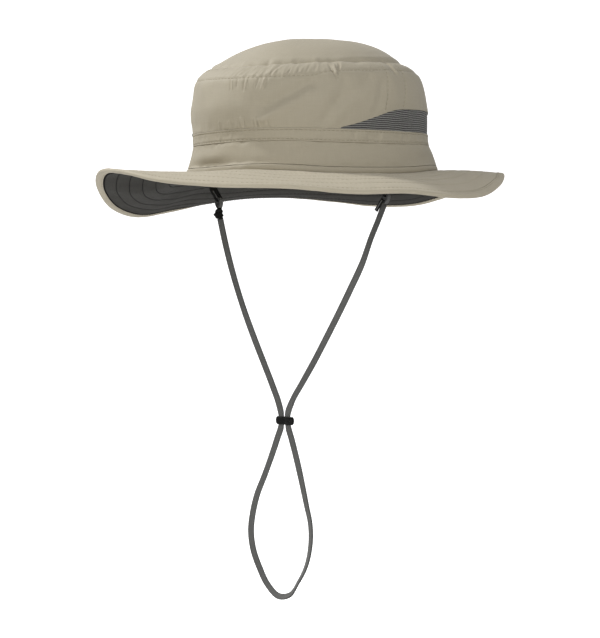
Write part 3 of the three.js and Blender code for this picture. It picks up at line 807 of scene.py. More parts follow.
# ---- Stitches ----
def stitches(lines, size=1.0):
    """Stitches along each line: (points, normals), laid on the cloth with their ends sewn in."""
    shape = bpy.context.scene.sun_hat_shape
    long, gap, thread = (getattr(shape, k) / MM for k in ("stitch_length", "stitch_gap", "thread"))
    thread *= size
    rings, sides = len(STITCH_RINGS), STITCH_SIDES
    place, rise, radius = (np.array(column) for column in zip(*STITCH_RINGS))
    rise, radius = rise[:, None] * thread, radius[:, None, None] * thread
    around = np.arange(sides)[:, None] * 360 / sides
    end = (rings - 1) * sides
    ends = [(3, 2, 1, 0), (4, 3, 0, 0)]
    ends += [(end, end + 1, end + 2, end + 3), (end, end + 3, end + 4, end + 4)]
    quads = np.concatenate((tube(rings, sides)[0], ends))
    coords = np.stack([quads // sides * long / 3, quads % sides * thread * 3 / sides], -1)
    rows = []
    for path, normals in lines:
        run = run_along(path)
        count = int(run[-1] / (long + gap))
        at = ((np.arange(count) + 0.5) * run[-1] / count)[:, None] + place * long
        spot, up = place_on(path, run, at), place_on(normals, run, at)
        across = unit(np.cross(spot[:, -1:] - spot[:, :1], up))
        middle = spot + up * rise
        outward = cosine(around) * across[:, :, None] + sine(around) * up[:, :, None]
        points = (middle[:, :, None] + radius * outward).reshape(-1, 3)
        faces = (np.arange(count)[:, None, None] * sides * rings + quads).reshape(-1, 4)
        rows.append((points, faces, np.tile(coords, (count, 1, 1))))
    return joined(*rows)


def line_round(face, at, columns=SEWN_POINTS):
    """A closed line round the hat on a face, and the normals along it."""
    rows = np.broadcast_to(np.asarray(at, float), (columns, 1)) + np.array([-0.3, 0, 0.3])
    grid = face(turn_columns(columns)[:, None], rows)
    return tuple(np.concatenate((part[:, 1], part[:1, 1])) for part in (grid, grid_normals(grid, True)))


# ---- Materials ----
class Shader:
    """Adds and joins nodes in one node tree."""

    def __init__(self, tree):
        self.tree = tree

    def node(self, kind, settings=None, **inputs):
        made = self.tree.nodes.new(kind)
        for key, value in (settings or {}).items():
            setattr(made, key, value)
        self.fill(made, **inputs)
        return made

    def fill(self, made, **inputs):
        """Sets or links sockets by name, with `_` for a space."""
        for key, value in inputs.items():
            self.put(made, key.replace("_", " "), value)

    def put(self, made, socket, value):
        target = made.inputs[socket]
        if isinstance(value, bpy.types.NodeSocket):
            self.tree.links.new(value, target)
        else:
            target.default_value = value

    def math(self, operation, a, b=0.0):
        made = self.node("ShaderNodeMath", {"operation": operation})
        self.put(made, 0, a)
        self.put(made, 1, b)
        return made.outputs[0]

    def mix(self, factor, a, b, blend="MIX"):
        made = self.node("ShaderNodeMix", {"data_type": "RGBA", "blend_type": blend})
        for socket, value in ((0, factor), (6, a), (7, b)):
            self.put(made, socket, value)
        return made.outputs[2]

    def spread(self, value, low, high, to_low=0.0, to_high=1.0):
        made = self.node("ShaderNodeMapRange")
        for socket, number in enumerate((value, low, high, to_low, to_high)):
            self.put(made, socket, number)
        return made.outputs[0]

    def shade(self, colour, value):
        """A colour made lighter or darker by a number."""
        grey = self.node("ShaderNodeCombineXYZ", X=value, Y=value, Z=value).outputs[0]
        return self.mix(1.0, colour, grey, "MULTIPLY")

    def noise(self, place, scale, detail):
        made = self.node("ShaderNodeTexNoise", Vector=place, Scale=scale, Detail=detail)
        return made.outputs[0]

    def pattern_place(self):
        return self.node("ShaderNodeUVMap", {"uv_map": "cloth"}).outputs[0]

    def group(self, name, **inputs):
        return self.node("ShaderNodeGroup", {"node_tree": bpy.data.node_groups[name]}, **inputs)

    def bump(self, surface, height, distance, strength):
        made = self.node("ShaderNodeBump", Height=height, Distance=distance, Strength=strength)
        self.put(surface, "Normal", made.outputs[0])


def new_group(name, inputs, outputs):
    """A node group's nodes and its sockets: (name, kind, default) in and (name, kind) out."""
    tree = bpy.data.node_groups.new(name, "ShaderNodeTree")
    for label, kind, default in inputs:
        socket = tree.interface.new_socket(name=label, in_out="INPUT", socket_type=kind)
        socket.default_value = default
    for label, kind in outputs:
        tree.interface.new_socket(name=label, in_out="OUTPUT", socket_type=kind)
    shader = Shader(tree)
    return shader, shader.node("NodeGroupInput").outputs, shader.node("NodeGroupOutput")


def make_weave_group():
    """Plain weave: each crossing shows the upper yarn, rounded and slightly uneven."""
    inputs = [
        ("Place", "NodeSocketVector", (0, 0, 0)),
        ("Yarn pitch", "NodeSocketFloat", 0.0005),
        ("Unevenness", "NodeSocketFloat", 0.3),
    ]
    outputs = [("Height", "NodeSocketFloat"), ("Slub", "NodeSocketFloat")]
    s, given, result = new_group("Plain weave", inputs, outputs)
    place = s.node("ShaderNodeSeparateXYZ", Vector=given["Place"])
    turns = s.math("DIVIDE", math.pi, given["Yarn pitch"])
    sines = [s.math("SINE", s.math("MULTIPLY", place.outputs[k], turns)) for k in (0, 1)]
    across, along = (s.math("ABSOLUTE", height) for height in sines)
    warp = s.math("MULTIPLY", across, s.math("POWER", along, 0.4))
    weft = s.math("MULTIPLY", along, s.math("POWER", across, 0.4))
    over = s.math("GREATER_THAN", s.math("MULTIPLY", *sines), 0.0)
    upper = s.math("MULTIPLY", s.math("SUBTRACT", warp, weft), over)
    streaks = []
    for stretch in ((1500, 70, 1), (70, 1500, 1)):
        spot = s.node("ShaderNodeMapping", Vector=given["Place"], Scale=stretch).outputs[0]
        streaks.append(s.noise(spot, 1.0, 2.0))
    slub = s.math("SUBTRACT", s.math("ADD", *streaks), 1.0)
    slub = s.math("MULTIPLY", slub, given["Unevenness"])
    s.fill(result, Height=s.math("ADD", s.math("ADD", weft, upper), slub), Slub=slub)


def make_dye_group():
    """Uneven dye: broad soft patches and fine specks."""
    inputs = [
        ("Colour", "NodeSocketColor", (1, 1, 1, 1)),
        ("Amount", "NodeSocketFloat", 0.1),
        ("Patch size", "NodeSocketFloat", 0.05),
    ]
    outputs = [("Colour", "NodeSocketColor"), ("Mask", "NodeSocketFloat")]
    s, given, result = new_group("Uneven dye", inputs, outputs)
    place = s.node("ShaderNodeTexCoord").outputs["Object"]
    broad = s.noise(place, s.math("DIVIDE", 1.0, given["Patch size"]), 3.0)
    fine = s.noise(place, 1400.0, 2.0)
    mask = s.math("ADD", s.math("MULTIPLY", broad, 0.7), s.math("MULTIPLY", fine, 0.3))
    factor = s.math("MULTIPLY", s.math("SUBTRACT", mask, 0.5), given["Amount"])
    s.fill(result, Colour=s.shade(given["Colour"], s.math("ADD", 1.0, factor)), Mask=mask)


def new_material(name):
    """An empty material: its nodes and its surface shader."""
    if "Plain weave" not in bpy.data.node_groups:
        make_weave_group()
        make_dye_group()
    material = bpy.data.materials.new(name)
    material.use_nodes = True
    material.node_tree.nodes.clear()
    shader = Shader(material.node_tree)
    surface = shader.node("ShaderNodeBsdfPrincipled")
    shader.node("ShaderNodeOutputMaterial", Surface=surface.outputs[0])
    return material, shader, surface


def woven(
    name, colour, pitch, roughness, sheen=0.0, uneven=0.3, depth=0.00006, dye=0.12, gloss=0.3, face=0
):
    """Woven cloth whose yarns follow the piece's own pattern, painted darker in the weave's hollows; on
    a tape, painted shade also darkens each face towards its edges, with a faint painted highlight in
    its middle.
    """
    if name in bpy.data.materials:
        return bpy.data.materials[name]
    material, s, surface = new_material(name)
    place = s.pattern_place()
    height = s.group("Plain weave", Place=place, Yarn_pitch=pitch, Unevenness=uneven).outputs["Height"]
    dyed = s.group("Uneven dye", Colour=(*colour, 1), Amount=dye, Patch_size=0.04).outputs["Colour"]
    # Painted shade: the cloth's colour darkens where the weave's height is low, in the hollows between
    # yarns, and a faint painted highlight lightens its high crossings; the yarns' slubs shift it the
    # same way.
    tone = s.spread(height, 0.1, 1.0, 0.86, 1.05)
    # Painted shade and highlight: each face of a tape is painted darker towards its edges and a little
    # lighter in its middle, as if its section curled.
    if face:
        across = s.node("ShaderNodeSeparateXYZ", Vector=place).outputs["X"]
        across = s.math("FRACT", s.math("DIVIDE", across, face))
        from_middle = s.math("ABSOLUTE", s.math("SUBTRACT", across, 0.5))
        tone = s.math("MULTIPLY", tone, s.spread(from_middle, 0.26, 0.47, 1.08, 0.5))
    rough = s.spread(height, 0.1, 1.0, roughness + 0.06, roughness - 0.04)
    s.fill(surface, Base_Color=s.shade(dyed, tone), Roughness=rough, Specular_IOR_Level=gloss)
    s.fill(surface, Sheen_Weight=sheen, Sheen_Roughness=0.45)
    s.bump(surface, height, depth, 0.5)
    return material


def vent_mesh(name, colour):
    """Ribbed mesh: ribs in the mesh's colour, painted shade in the hollows between them and in pores
    all over, and a painted shadow line under the vent's top edge.
    """
    material, s, surface = new_material(name)
    relief = s.node("ShaderNodeAttribute", {"attribute_name": "relief"}).outputs["Fac"]
    pores = s.node("ShaderNodeTexVoronoi", Vector=s.pattern_place(), Scale=1250.0)
    edge = s.spread(pores.outputs["Distance"], 0.12, 0.45)
    # dark is the rib colour at a tenth: the painted shade of the hollows, the pores and the line under
    # the vent's top edge, blended in by the relief attribute and the pores.
    dark = (*(part * 0.1 for part in colour), 1)
    body = s.mix(s.spread(relief, 0.2, 0.75), dark, (*colour, 1))
    s.put(surface, "Base Color", s.mix(s.spread(edge, 0, 1, 0.45, 0), body, dark))
    s.put(surface, "Roughness", s.spread(edge, 0, 1, 0.8, 0.62))
    s.bump(surface, edge, 0.0001, 0.6)
    return material


def moulded(name, colour):
    """Moulded plastic with a fine satin grain."""
    material, s, surface = new_material(name)
    dyed = s.group("Uneven dye", Colour=(*colour, 1), Amount=0.2, Patch_size=0.006)
    rough = s.spread(dyed.outputs["Mask"], 0.3, 0.7, 0.5, 0.64)
    s.fill(surface, Base_Color=dyed.outputs["Colour"], Roughness=rough, Specular_IOR_Level=0.2)
    grain = s.noise(s.node("ShaderNodeTexCoord").outputs["Object"], 2600.0, 3.0)
    s.bump(surface, grain, 0.00003, 0.4)
    return material


def spun_thread(name, colour):
    """Sewing thread: two twisted plies, with painted shade in the grooves between them."""
    material, s, surface = new_material(name)
    twist = {"bands_direction": "DIAGONAL"}
    twist = s.node("ShaderNodeTexWave", twist, Vector=s.pattern_place(), Scale=700.0).outputs["Fac"]
    dyed = s.group("Uneven dye", Colour=(*colour, 1), Amount=0.25, Patch_size=0.003)
    # Painted shade in the grooves of the twist, and a faint painted highlight on the plies.
    tone = s.shade(dyed.outputs["Colour"], s.spread(twist, 0, 1, 0.78, 1.08))
    rough = s.spread(twist, 0, 1, 0.8, 0.65)
    s.fill(surface, Base_Color=tone, Roughness=rough, Specular_IOR_Level=0.15)
    s.bump(surface, twist, 0.00004, 0.5)
    return material


def khaki_cloth(brim=False):
    colours = bpy.context.scene.sun_hat_colours
    # The brim's copy of the khaki is painted lighter, as painted light on the brim's top.
    name, colour = ("Khaki brim cloth", colours.khaki_brim) if brim else ("Khaki cloth", colours.khaki)
    return woven(name, colour, 0.00042, 0.66, sheen=0.1, uneven=0.5)


def tape_cloth():
    colour = bpy.context.scene.sun_hat_colours.tape
    # The tape's faces carry painted shade towards their edges and a faint painted highlight in their
    # middles.
    return woven(
        "Strap tape", colour, 0.0007, 0.6, sheen=0.15, depth=0.00012, dye=0.5, face=TAPE_FACE
    )


def webbing_cloth():
    colour = bpy.context.scene.sun_hat_colours.webbing
    return woven("Black webbing", colour, 0.0008, 0.75, depth=0.00014, dye=0.3, gloss=0.12)


# ---- Tapes ----
def route_points(count):
    """Evenly spaced points along the chin strap's route, their directions, and its length."""
    route = np.array([(x, STRAP_PLANE * MM, z) for x, z in STRAP_ROUTE])
    run = run_along(route)
    slope = np.gradient(route, run, axis=0)
    dense = np.linspace(0, run[-1], 2400)
    low = np.clip(np.searchsorted(run, dense, side="right") - 1, 0, len(run) - 2)
    width = (run[low + 1] - run[low])[:, None]
    t = (dense - run[low])[:, None] / width
    line = cubic(route[low], route[low + 1], slope[low], slope[low + 1], width, t)
    run = run_along(line)
    even = place_on(line, run, np.linspace(0, run[-1], count))
    return even, unit(np.gradient(even, axis=0)), float(run[-1])


def tape_section(width, thickness):
    """Corners round a tape's section, from one edge by its lower face and back by its upper."""
    w, h = width / 2, thickness / 2
    lower = [(-w, 0), (-w + 0.35 * h, -0.75 * h), (-w + 1.2 * h, -h), (-w / 3, -0.86 * h)]
    lower += [(-x, y) for x, y in lower[::-1]]
    return np.array([*lower, *((x, -y) for x, y in lower[-2:0:-1])])


def tape_along(points, broad, width, thickness, wave=0.0):
    """A flat tape along points in millimetres, `broad` its sideways direction at each of them."""
    count = len(points)
    ahead = unit(np.gradient(points, axis=0))
    broad = unit(broad - (broad * ahead).sum(1, keepdims=True) * ahead)
    swell = 1 + wave * np.sin(np.arange(count) * 2.1)
    upward = np.cross(ahead, broad) * swell[:, None]
    section = tape_section(width, thickness)
    sides, half = len(section), len(section) // 2
    across, up = section[:, :1], section[:, 1:]
    rings = points[:, None] + broad[:, None] * across + upward[:, None] * up
    faces, ring, side = tube(count, sides)
    girth, run = run_along(np.concatenate((section, section[:1]))), run_along(points)
    coords = np.stack([girth[side], run[ring]], axis=-1)
    end = [(0, 1, sides - 1, sides - 1)]
    end += [(k, k + 1, sides - k - 1, sides - k) for k in range(1, half - 1)]
    end = np.array([*end, (half - 1, half, half + 1, half + 1)])
    start = end[:, [1, 0, 3, 2]]
    faces = np.concatenate((faces, start, end + (count - 1) * sides))
    return rings.reshape(-1, 3), faces, np.concatenate((coords, section[start], section[end]))


def hanger_ends(side):
    """Where a hanger is sewn and where the strap's end hangs from it, both as (x, z)."""
    end = np.array(STRAP_ROUTE[0 if side < 0 else -1]) / MM
    return np.array([side * TAB_SEWN_X, TAB_SEWN_Z]), end


def hanger_place(side, local):
    """Turns a hanger's own points (down is -Z) into the hat's frame, in millimetres."""
    sewn, end = hanger_ends(side)
    turn = math.atan2(*(sewn - end))
    x, y, z = np.moveaxis(np.asarray(local, float), -1, 0)
    across = sewn[0] + x * math.cos(turn) + z * math.sin(turn)
    up = sewn[1] - x * math.sin(turn) + z * math.cos(turn)
    return np.stack([across, STRAP_PLANE + y, up], axis=-1)


def hanger_reach(side):
    """Distance from where a hanger is sewn down to the strap's end."""
    sewn, end = hanger_ends(side)
    return float(np.hypot(*(sewn - end)))


# ---- Operators ----
class SUNHAT_OT_stage(bpy.types.Operator):
    """Camera, pale floor and soft studio light"""

    bl_idname = "sunhat.stage"
    bl_label = "Stage"

    def execute(self, context):
        settings = context.scene.sun_hat_stage
        camera = bpy.data.objects.new("Camera", bpy.data.cameras.new("Camera"))
        context.scene.collection.objects.link(camera)
        camera.location = CAMERA_PLACE
        forward, up = Vector(CAMERA_FORWARD), Vector(CAMERA_UP)
        camera.rotation_mode = "QUATERNION"
        axes = Matrix((forward.cross(up), up, -forward)).transposed()
        camera.rotation_quaternion = axes.to_quaternion()
        camera.data.lens = settings.lens
        camera.data.sensor_width = 36
        camera.data.clip_start, camera.data.clip_end = 0.01, 50
        context.scene.camera = camera
        self.add_floor(context, settings)
        self.add_lamp(context, "Key lamp", KEY_PLACE, KEY_SIZE, settings.key)
        self.add_lamp(context, "Fill lamp", FILL_PLACE, FILL_SIZE, settings.fill)
        self.add_room(context, settings)
        context.scene.view_settings.view_transform = "Standard"
        return {"FINISHED"}

    def add_room(self, context, settings):
        """A white room: it looks white, and its walls and ceiling light the hat."""
        world = bpy.data.worlds.new("White room")
        world.use_nodes = True
        s = Shader(world.node_tree)
        seen = s.node("ShaderNodeLightPath").outputs["Is Camera Ray"]
        toward = s.node("ShaderNodeTexCoord").outputs["Generated"]
        up = s.node("ShaderNodeSeparateXYZ", Vector=toward).outputs["Z"]
        light = s.spread(up, 0.1, 0.8, settings.surround, settings.ceiling)
        background = world.node_tree.nodes["Background"]
        s.fill(background, Strength=s.spread(seen, 0, 1, light, 1), Color=(1, 1, 1, 1))
        context.scene.world = world

    def add_floor(self, context, settings):
        """A floor that sweeps up into a wall behind the hat."""
        half_width, front, back, bend, top = FLOOR_SIZES
        profile = [(front, 0.0), (back, 0.0)]
        profile += [(back + bend * sine(t), bend - bend * cosine(t)) for t in np.linspace(4, 90, 24)]
        profile.append((back + bend, top))
        turn = math.radians(BACKDROP_TURN)
        points, faces = [], []
        for away, up in profile:
            for side in (half_width, -half_width):
                x = side * math.cos(turn) - away * math.sin(turn)
                y = side * math.sin(turn) + away * math.cos(turn)
                points.append((float(x), float(y), float(up + settings.floor_level)))
        for k in range(len(profile) - 1):
            faces.append((2 * k, 2 * k + 2, 2 * k + 3, 2 * k + 1))
        mesh = bpy.data.meshes.new("Floor")
        mesh.from_pydata(points, [], faces)
        mesh.polygons.foreach_set("use_smooth", [True] * len(faces))
        floor = bpy.data.objects.new("Floor", mesh)
        context.scene.collection.objects.link(floor)
        material = bpy.data.materials.new("Pale floor")
        material.use_nodes = True
        s, surface = Shader(material.node_tree), material.node_tree.nodes["Principled BSDF"]
        s.fill(surface, Base_Color=(0.8, 0.8, 0.8, 1), Roughness=0.95, Specular_IOR_Level=0.0)
        seen = s.node("ShaderNodeLightPath").outputs["Is Camera Ray"]
        glow = s.spread(seen, 0, 1, 0, settings.glow)
        s.fill(surface, Emission_Color=(1, 1, 1, 1), Emission_Strength=glow)
        mesh.materials.append(material)

    def add_lamp(self, context, name, place, size, power):
        data = bpy.data.lights.new(name, "AREA")
        data.shape, data.size, data.energy = "DISK", size, power
        lamp = bpy.data.objects.new(name, data)
        context.scene.collection.objects.link(lamp)
        lamp.location = place
        lamp.visible_camera = False
        lamp.rotation_mode = "QUATERNION"
        lamp.rotation_quaternion = (-lamp.location).to_track_quat("-Z", "Y")


class SUNHAT_OT_chin_strap(bpy.types.Operator):
    """Flat grey tape, hanging in a loop through its slider"""

    bl_idname = "sunhat.chin_strap"
    bl_label = "Chin strap"

    def execute(self, context):
        width = context.scene.sun_hat_shape.tape_width / MM
        path, ahead, length = route_points(430)
        share = np.linspace(0, 1, len(path))
        turn = np.radians(smooth(share, STRAP_TURNS, 1))
        in_plane = np.cross(ahead, (0.0, 1.0, 0.0))
        broad = np.cos(turn)[:, None] * in_plane + np.sin(turn)[:, None] * (0.0, 1.0, 0.0)
        built = tape_along(path / MM, broad, width, TAPE_THICKNESS, 0.05)
        strap = put_piece("chin_strap_tape", built, tape_cloth(), ["chin_strap"])
        return {"FINISHED"}


class SUNHAT_OT_toggle(bpy.types.Operator):
    """Black slider that holds both runs of the strap"""

    bl_idname = "sunhat.toggle"
    bl_label = "Slider"

    def execute(self, context):
        low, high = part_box("strap_toggle")
        size = high - low
        half = (size.x - size.y) / 2
        bpy.ops.object.select_all(action="DESELECT")
        bpy.ops.mesh.primitive_cylinder_add(
            vertices=48, radius=size.y / 2, depth=size.z, location=(low + high) / 2
        )
        slider = context.object
        slider.name = slider.data.name = "strap_slider"
        bpy.ops.object.mode_set(mode="EDIT")
        for x in (half, -half):
            self.pick(slider, "verts", lambda vertex: vertex.co.x * x > 1e-9)
            bpy.ops.transform.translate(value=(x, 0, 0))
        for x in SLIDER_CUTS:
            self.cut(slider, (x, 0, 0), (1, 0, 0))
        for up in (-0.8, -0.5, 0, 0.5, 0.8):
            self.cut(slider, (0, 0, up * size.z / 2), (0, 0, 1))
        for x, narrow in SLIDER_WAIST:
            self.pick(slider, "verts", lambda vertex: abs(abs(vertex.co.x) - x) < 1e-4)
            bpy.ops.transform.resize(value=(1, narrow, 1))
        for up, narrow in SLIDER_ENDS:
            for level in (up * size.z / 2, -up * size.z / 2):
                self.pick(slider, "verts", lambda vertex: abs(vertex.co.z - level) < 1e-5)
                bpy.ops.transform.resize(value=(narrow, 1 - (1 - narrow) * 0.8, 1))
        self.pick(slider, "faces", lambda face: abs(face.normal.z) > 0.98)
        bpy.ops.mesh.inset(thickness=SLIDER_WALL, use_individual=False)
        bpy.ops.mesh.bridge_edge_loops()
        bpy.ops.mesh.select_all(action="SELECT")
        bpy.ops.mesh.normals_make_consistent(inside=False)
        bpy.ops.object.mode_set(mode="OBJECT")
        bevel = slider.modifiers.new("Rounded edges", "BEVEL")
        bevel.width, bevel.segments, bevel.angle_limit = SLIDER_EDGE, 4, math.radians(60)
        bpy.ops.object.modifier_apply(modifier=bevel.name)
        bpy.ops.object.transform_apply(location=True, rotation=True, scale=True)
        plastic = moulded("Black plastic", context.scene.sun_hat_colours.plastic)
        finish_piece(slider, plastic, ["strap_toggle"])
        return {"FINISHED"}

    def cut(self, piece, place, toward):
        """Cuts new edges across the whole piece at a place in its own frame."""
        bpy.ops.mesh.select_all(action="SELECT")
        bpy.ops.mesh.bisect(plane_co=piece.location + Vector(place), plane_no=toward)

    def pick(self, piece, kind, test):
        """Selects the vertices or faces that pass a test."""
        bpy.ops.mesh.select_mode(type="VERT" if kind == "verts" else "FACE")
        bpy.ops.mesh.select_all(action="DESELECT")
        mesh = bmesh.from_edit_mesh(piece.data)
        for part in getattr(mesh, kind):
            if test(part):
                part.select_set(True)
        mesh.select_flush_mode()
        bmesh.update_edit_mesh(piece.data)


class SUNHAT_OT_hangers(bpy.types.Operator):
    """Webbing loops under the band, the strap's folds through them, its wrap and its tail"""

    bl_idname = "sunhat.hangers"
    bl_label = "Strap hangers"

    def execute(self, context):
        for side, name, below in ((-1, "right", WRAP_HEIGHT + CLEARANCE), (1, "left", 0)):
            stem = -(hanger_reach(side) - STRAP_END_GAP - below)
            bar = stem + FOLD_STEM + FOLD_HEIGHT / 2
            self.add_loop(side, name, bar)
            self.add_fold(side, name, bar, stem)
            if side < 0:
                self.add_wrap(side, stem - CLEARANCE)
            else:
                self.add_tail(side, stem + 2)
        return {"FINISHED"}

    def add_loop(self, side, name, bar):
        """A webbing strip that hangs from the band and ends in a loop round its bar."""
        drop, across = bar + LOOP_HEIGHT, np.tile((0.0, 1.0, 0.0), (16, 1))
        strip = [(0, 0, z) for z in np.linspace(0, drop - 1.5, 16)]
        parts = [self.strip(side, strip, bar, across, 8.2, LOOP_THICKNESS)]
        if side < 0:
            fold = [(0.3, 2.2, z) for z in np.linspace(drop, bar + 1, 16)]
            parts.append(self.strip(side, fold, bar, across, 4.6, 1.3))
        turn = np.arange(0, 91, 15)
        half = [(LOOP_HALF, z) for z in np.linspace(drop + 1.5, bar + 2, 10)]
        half += zip(LOOP_HALF - LOOP_BEND * (1 - cosine(turn)), bar + LOOP_BEND * (1 - sine(turn)))
        half += [(y, bar) for y in np.linspace(LOOP_HALF - 2, 0, 4)[:-1]]
        path = np.array([(0, y, z) for y, z in (*half, (0, bar), *((-y, z) for y, z in half[::-1]))])
        sideways = np.cross(np.gradient(path, axis=0), (1.0, 0.0, 0.0))
        sideways = hanger_place(side, sideways) - hanger_place(side, np.zeros(3))
        parts.append(self.strip(side, path, bar, sideways, 1.5, LOOP_THICKNESS))
        nodes = [f"webbing_tab_{name}"]
        put_piece(f"webbing_loop_{name}", joined(*parts), webbing_cloth(), nodes)

    def strip(self, side, local, bar, broad, width, thickness):
        """A strip of webbing; the wearer's right one leans forward and outward above its bar."""
        x, y, z = np.moveaxis(np.asarray(local, float), -1, 0)
        lean = ease((z - bar) / 10) * ease(-z / 12) * (side < 0)
        path = np.stack([x - 2.2 * lean, y - 2.9 * lean, z], axis=-1)
        return tape_along(hanger_place(side, path), broad, width, thickness)

    def add_fold(self, side, name, bar, stem):
        """The strap's end, turned round the loop's bar and closed below it."""
        turn = np.arange(-20, 201, 11)
        around = zip(FOLD_RADIUS * cosine(turn), bar + FOLD_RADIUS * sine(turn))
        neck = [(FOLD_RADIUS, bar - 1.6), (1.75, bar - 3), (1.25, bar - 4.1), (0.62, stem)]
        path = [*neck[::-1], *around, *((-x, z) for x, z in neck)]
        path = np.array([(x, 0, z) for x, z in path])
        run = run_along(path)
        path = place_on(path, run, np.linspace(0, run[-1], 60))
        broad = np.tile((0.0, 1.0, 0.0), (len(path), 1))
        built = tape_along(hanger_place(side, path), broad, 5.0, 1.05, 0.04)
        put_piece(f"strap_end_{name}", built, tape_cloth(), [f"strap_fold_{name}"])

    def add_wrap(self, side, top):
        """Webbing wrapped round the strap in three lumpy turns."""
        angle, level = turn_columns(40)[:, None], np.linspace(0, 1, 40)[None, :]
        spiral = np.cos(2 * math.pi * (level * 3 + angle / 360 * 0.5))
        round_off = 0.5 + 0.5 * np.sqrt(np.clip(1 - np.abs(2 * level - 1) ** 4, 0, 1))
        belly = 1.05 + 0.45 * bell(level - 0.6, 0.3)
        lump = (0.95 + 0.09 * spiral + 0.05 * ripple(angle, level, 111, 7, 0.3)) * round_off * belly
        x, y = KEEPER_HALF[0] * cosine(angle) * lump, KEEPER_HALF[1] * sine(angle) * lump
        bulge = -1.5 * bell(level - 0.55, 0.32) + 0.5 * ease((level - 0.8) / 0.2)
        z = np.broadcast_to(top + 0.2 - level * (WRAP_HEIGHT + 1.5), x.shape)
        faces = [np.stack([(x + bulge) * size, y * size, z], axis=-1) for size in (1, 0.3)]
        built = shell(*(hanger_place(side, face) for face in faces))
        put_piece("strap_wrap", built, webbing_cloth(), ["strap_keeper"])

    def add_tail(self, side, top):
        """A short black tab with a lighter stripe, leaning over the strap's end."""
        front = -(4.8 + TAIL_THICKNESS) / 2 - CLEARANCE
        lean, thickness = math.radians(TAIL_LEAN), TAIL_THICKNESS * 0.75
        step = TAIL_LENGTH * np.array([-math.sin(lean), 0, -math.cos(lean)])
        path = np.array([0, front, top + 1]) + np.linspace(0, 1, 14)[:, None] * step
        sideways = hanger_place(side, (math.cos(lean), 0, -math.sin(lean)))
        broad = np.tile(sideways - hanger_place(side, (0, 0, 0)), (len(path), 1))
        tab = tape_along(hanger_place(side, path), broad, 3.1, thickness, 0.05)
        put_piece("strap_tail", tab, webbing_cloth(), ["strap_tail_tab"])
        on_front = hanger_place(side, path[1:-1] - (0, thickness / 2, 0))
        stripe = tape_along(on_front, broad[1:-1], 0.9, 0.4)
        put_piece("strap_tail_stripe", stripe, tape_cloth())


class SUNHAT_OT_tip(bpy.types.Operator):
    """Domed top panel of the crown"""

    bl_idname = "sunhat.tip"
    bl_label = "Crown tip"

    def execute(self, context):
        angle = turn_columns(400)[:, None]
        across = np.concatenate((TIP_ROWS, np.linspace(0.925, 0, 40)))[None, :]
        grid = tip_point(angle, across)
        built = cloth_wall(grid, tip_relief(angle, across), CLOTH, pole=True, plan=True)
        put_piece("crown_tip_panel", built, khaki_cloth(), ["crown_tip"])
        return {"FINISHED"}


class SUNHAT_OT_panels(bpy.types.Operator):
    """Front and back side panels of the crown"""

    bl_idname = "sunhat.panels"
    bl_label = "Crown panels"

    def execute(self, context):
        for name, centre, columns in (("front", 270, 450), ("back", 90, 280)):
            half = 90 + (SIDE_SEAM_AHEAD if centre == 90 else -SIDE_SEAM_AHEAD)
            angle = np.linspace(centre - half, centre + half, columns)[:, None]
            bottom = CHANNEL_LEVEL + vent_height(angle) + CLEARANCE
            low = bottom + (PANEL_MIDDLE - bottom) * np.linspace(0, 1, 24)[None, :] ** 1.2
            high = rows_between(PANEL_MIDDLE, TIP_LEVEL, 0.85, (TIP_LEVEL - 0.6,), 1.2)
            high = np.broadcast_to(high[None, 1:], (columns, len(high) - 1))
            hem = bottom - np.array([[CLEARANCE + TURN_IN, TURN_IN_STEP]])
            level = np.concatenate((hem, low, high), axis=1)
            grid = crown_point(angle, level)
            relief = crown_relief(angle, level) + turned_in(level, bottom, TIP_LEVEL)
            built = cloth_wall(grid, relief, CLOTH, ring=False)
            put_piece(f"crown_{name}_panel", built, khaki_cloth(), [f"crown_{name}"])
        return {"FINISHED"}


class SUNHAT_OT_vents(bpy.types.Operator):
    """Ribbed mesh vents at both sides"""

    bl_idname = "sunhat.vents"
    bl_label = "Mesh vents"

    def execute(self, context):
        mesh_cloth = vent_mesh("Vent mesh", context.scene.sun_hat_colours.mesh_rib)
        for name, right in (("left", False), ("right", True)):
            ahead = np.linspace(VENT_HEIGHTS[0][0], VENT_HEIGHTS[-1][0], 190)[:, None]
            angle = 180 - ahead if right else ahead
            low = CHANNEL_LEVEL - TURN_IN
            top = CHANNEL_LEVEL + vent_height(angle) + CLEARANCE + TURN_IN
            level = low + (top - low) * np.linspace(0, 1, 66)[None, :]
            wander = 0.55 * ripple(angle, 0, 121, 40) + 0.3 * ripple(angle, level, 122, 90, 5)
            rib = 0.5 + 0.5 * np.cos(2 * math.pi * (level + wander) / RIB_PITCH)
            edge = ease((level - low) / 1.2) * ease((top - level) / 1.2)
            relief = (0.42 * (rib - 0.8) + 0.3 * ripple(angle, level, 123, 30, 8)) * edge
            grid = crown_point(angle, level)
            built = cloth_wall(grid, relief - 0.4, CLOTH - 0.2, ring=False)
            # Painted shadow: within 0.9 mm of the vent's top edge the ribs fade into the painted shade
            # of the hollows, a dark line under the panel's edge.
            rib = rib * ease((top - level) / 0.9)
            ribs = np.concatenate([rib.ravel(), rib.ravel()])
            put_piece(f"vent_mesh_{name}", built, mesh_cloth, [f"vent_{name}"], ribs)
        return {"FINISHED"}


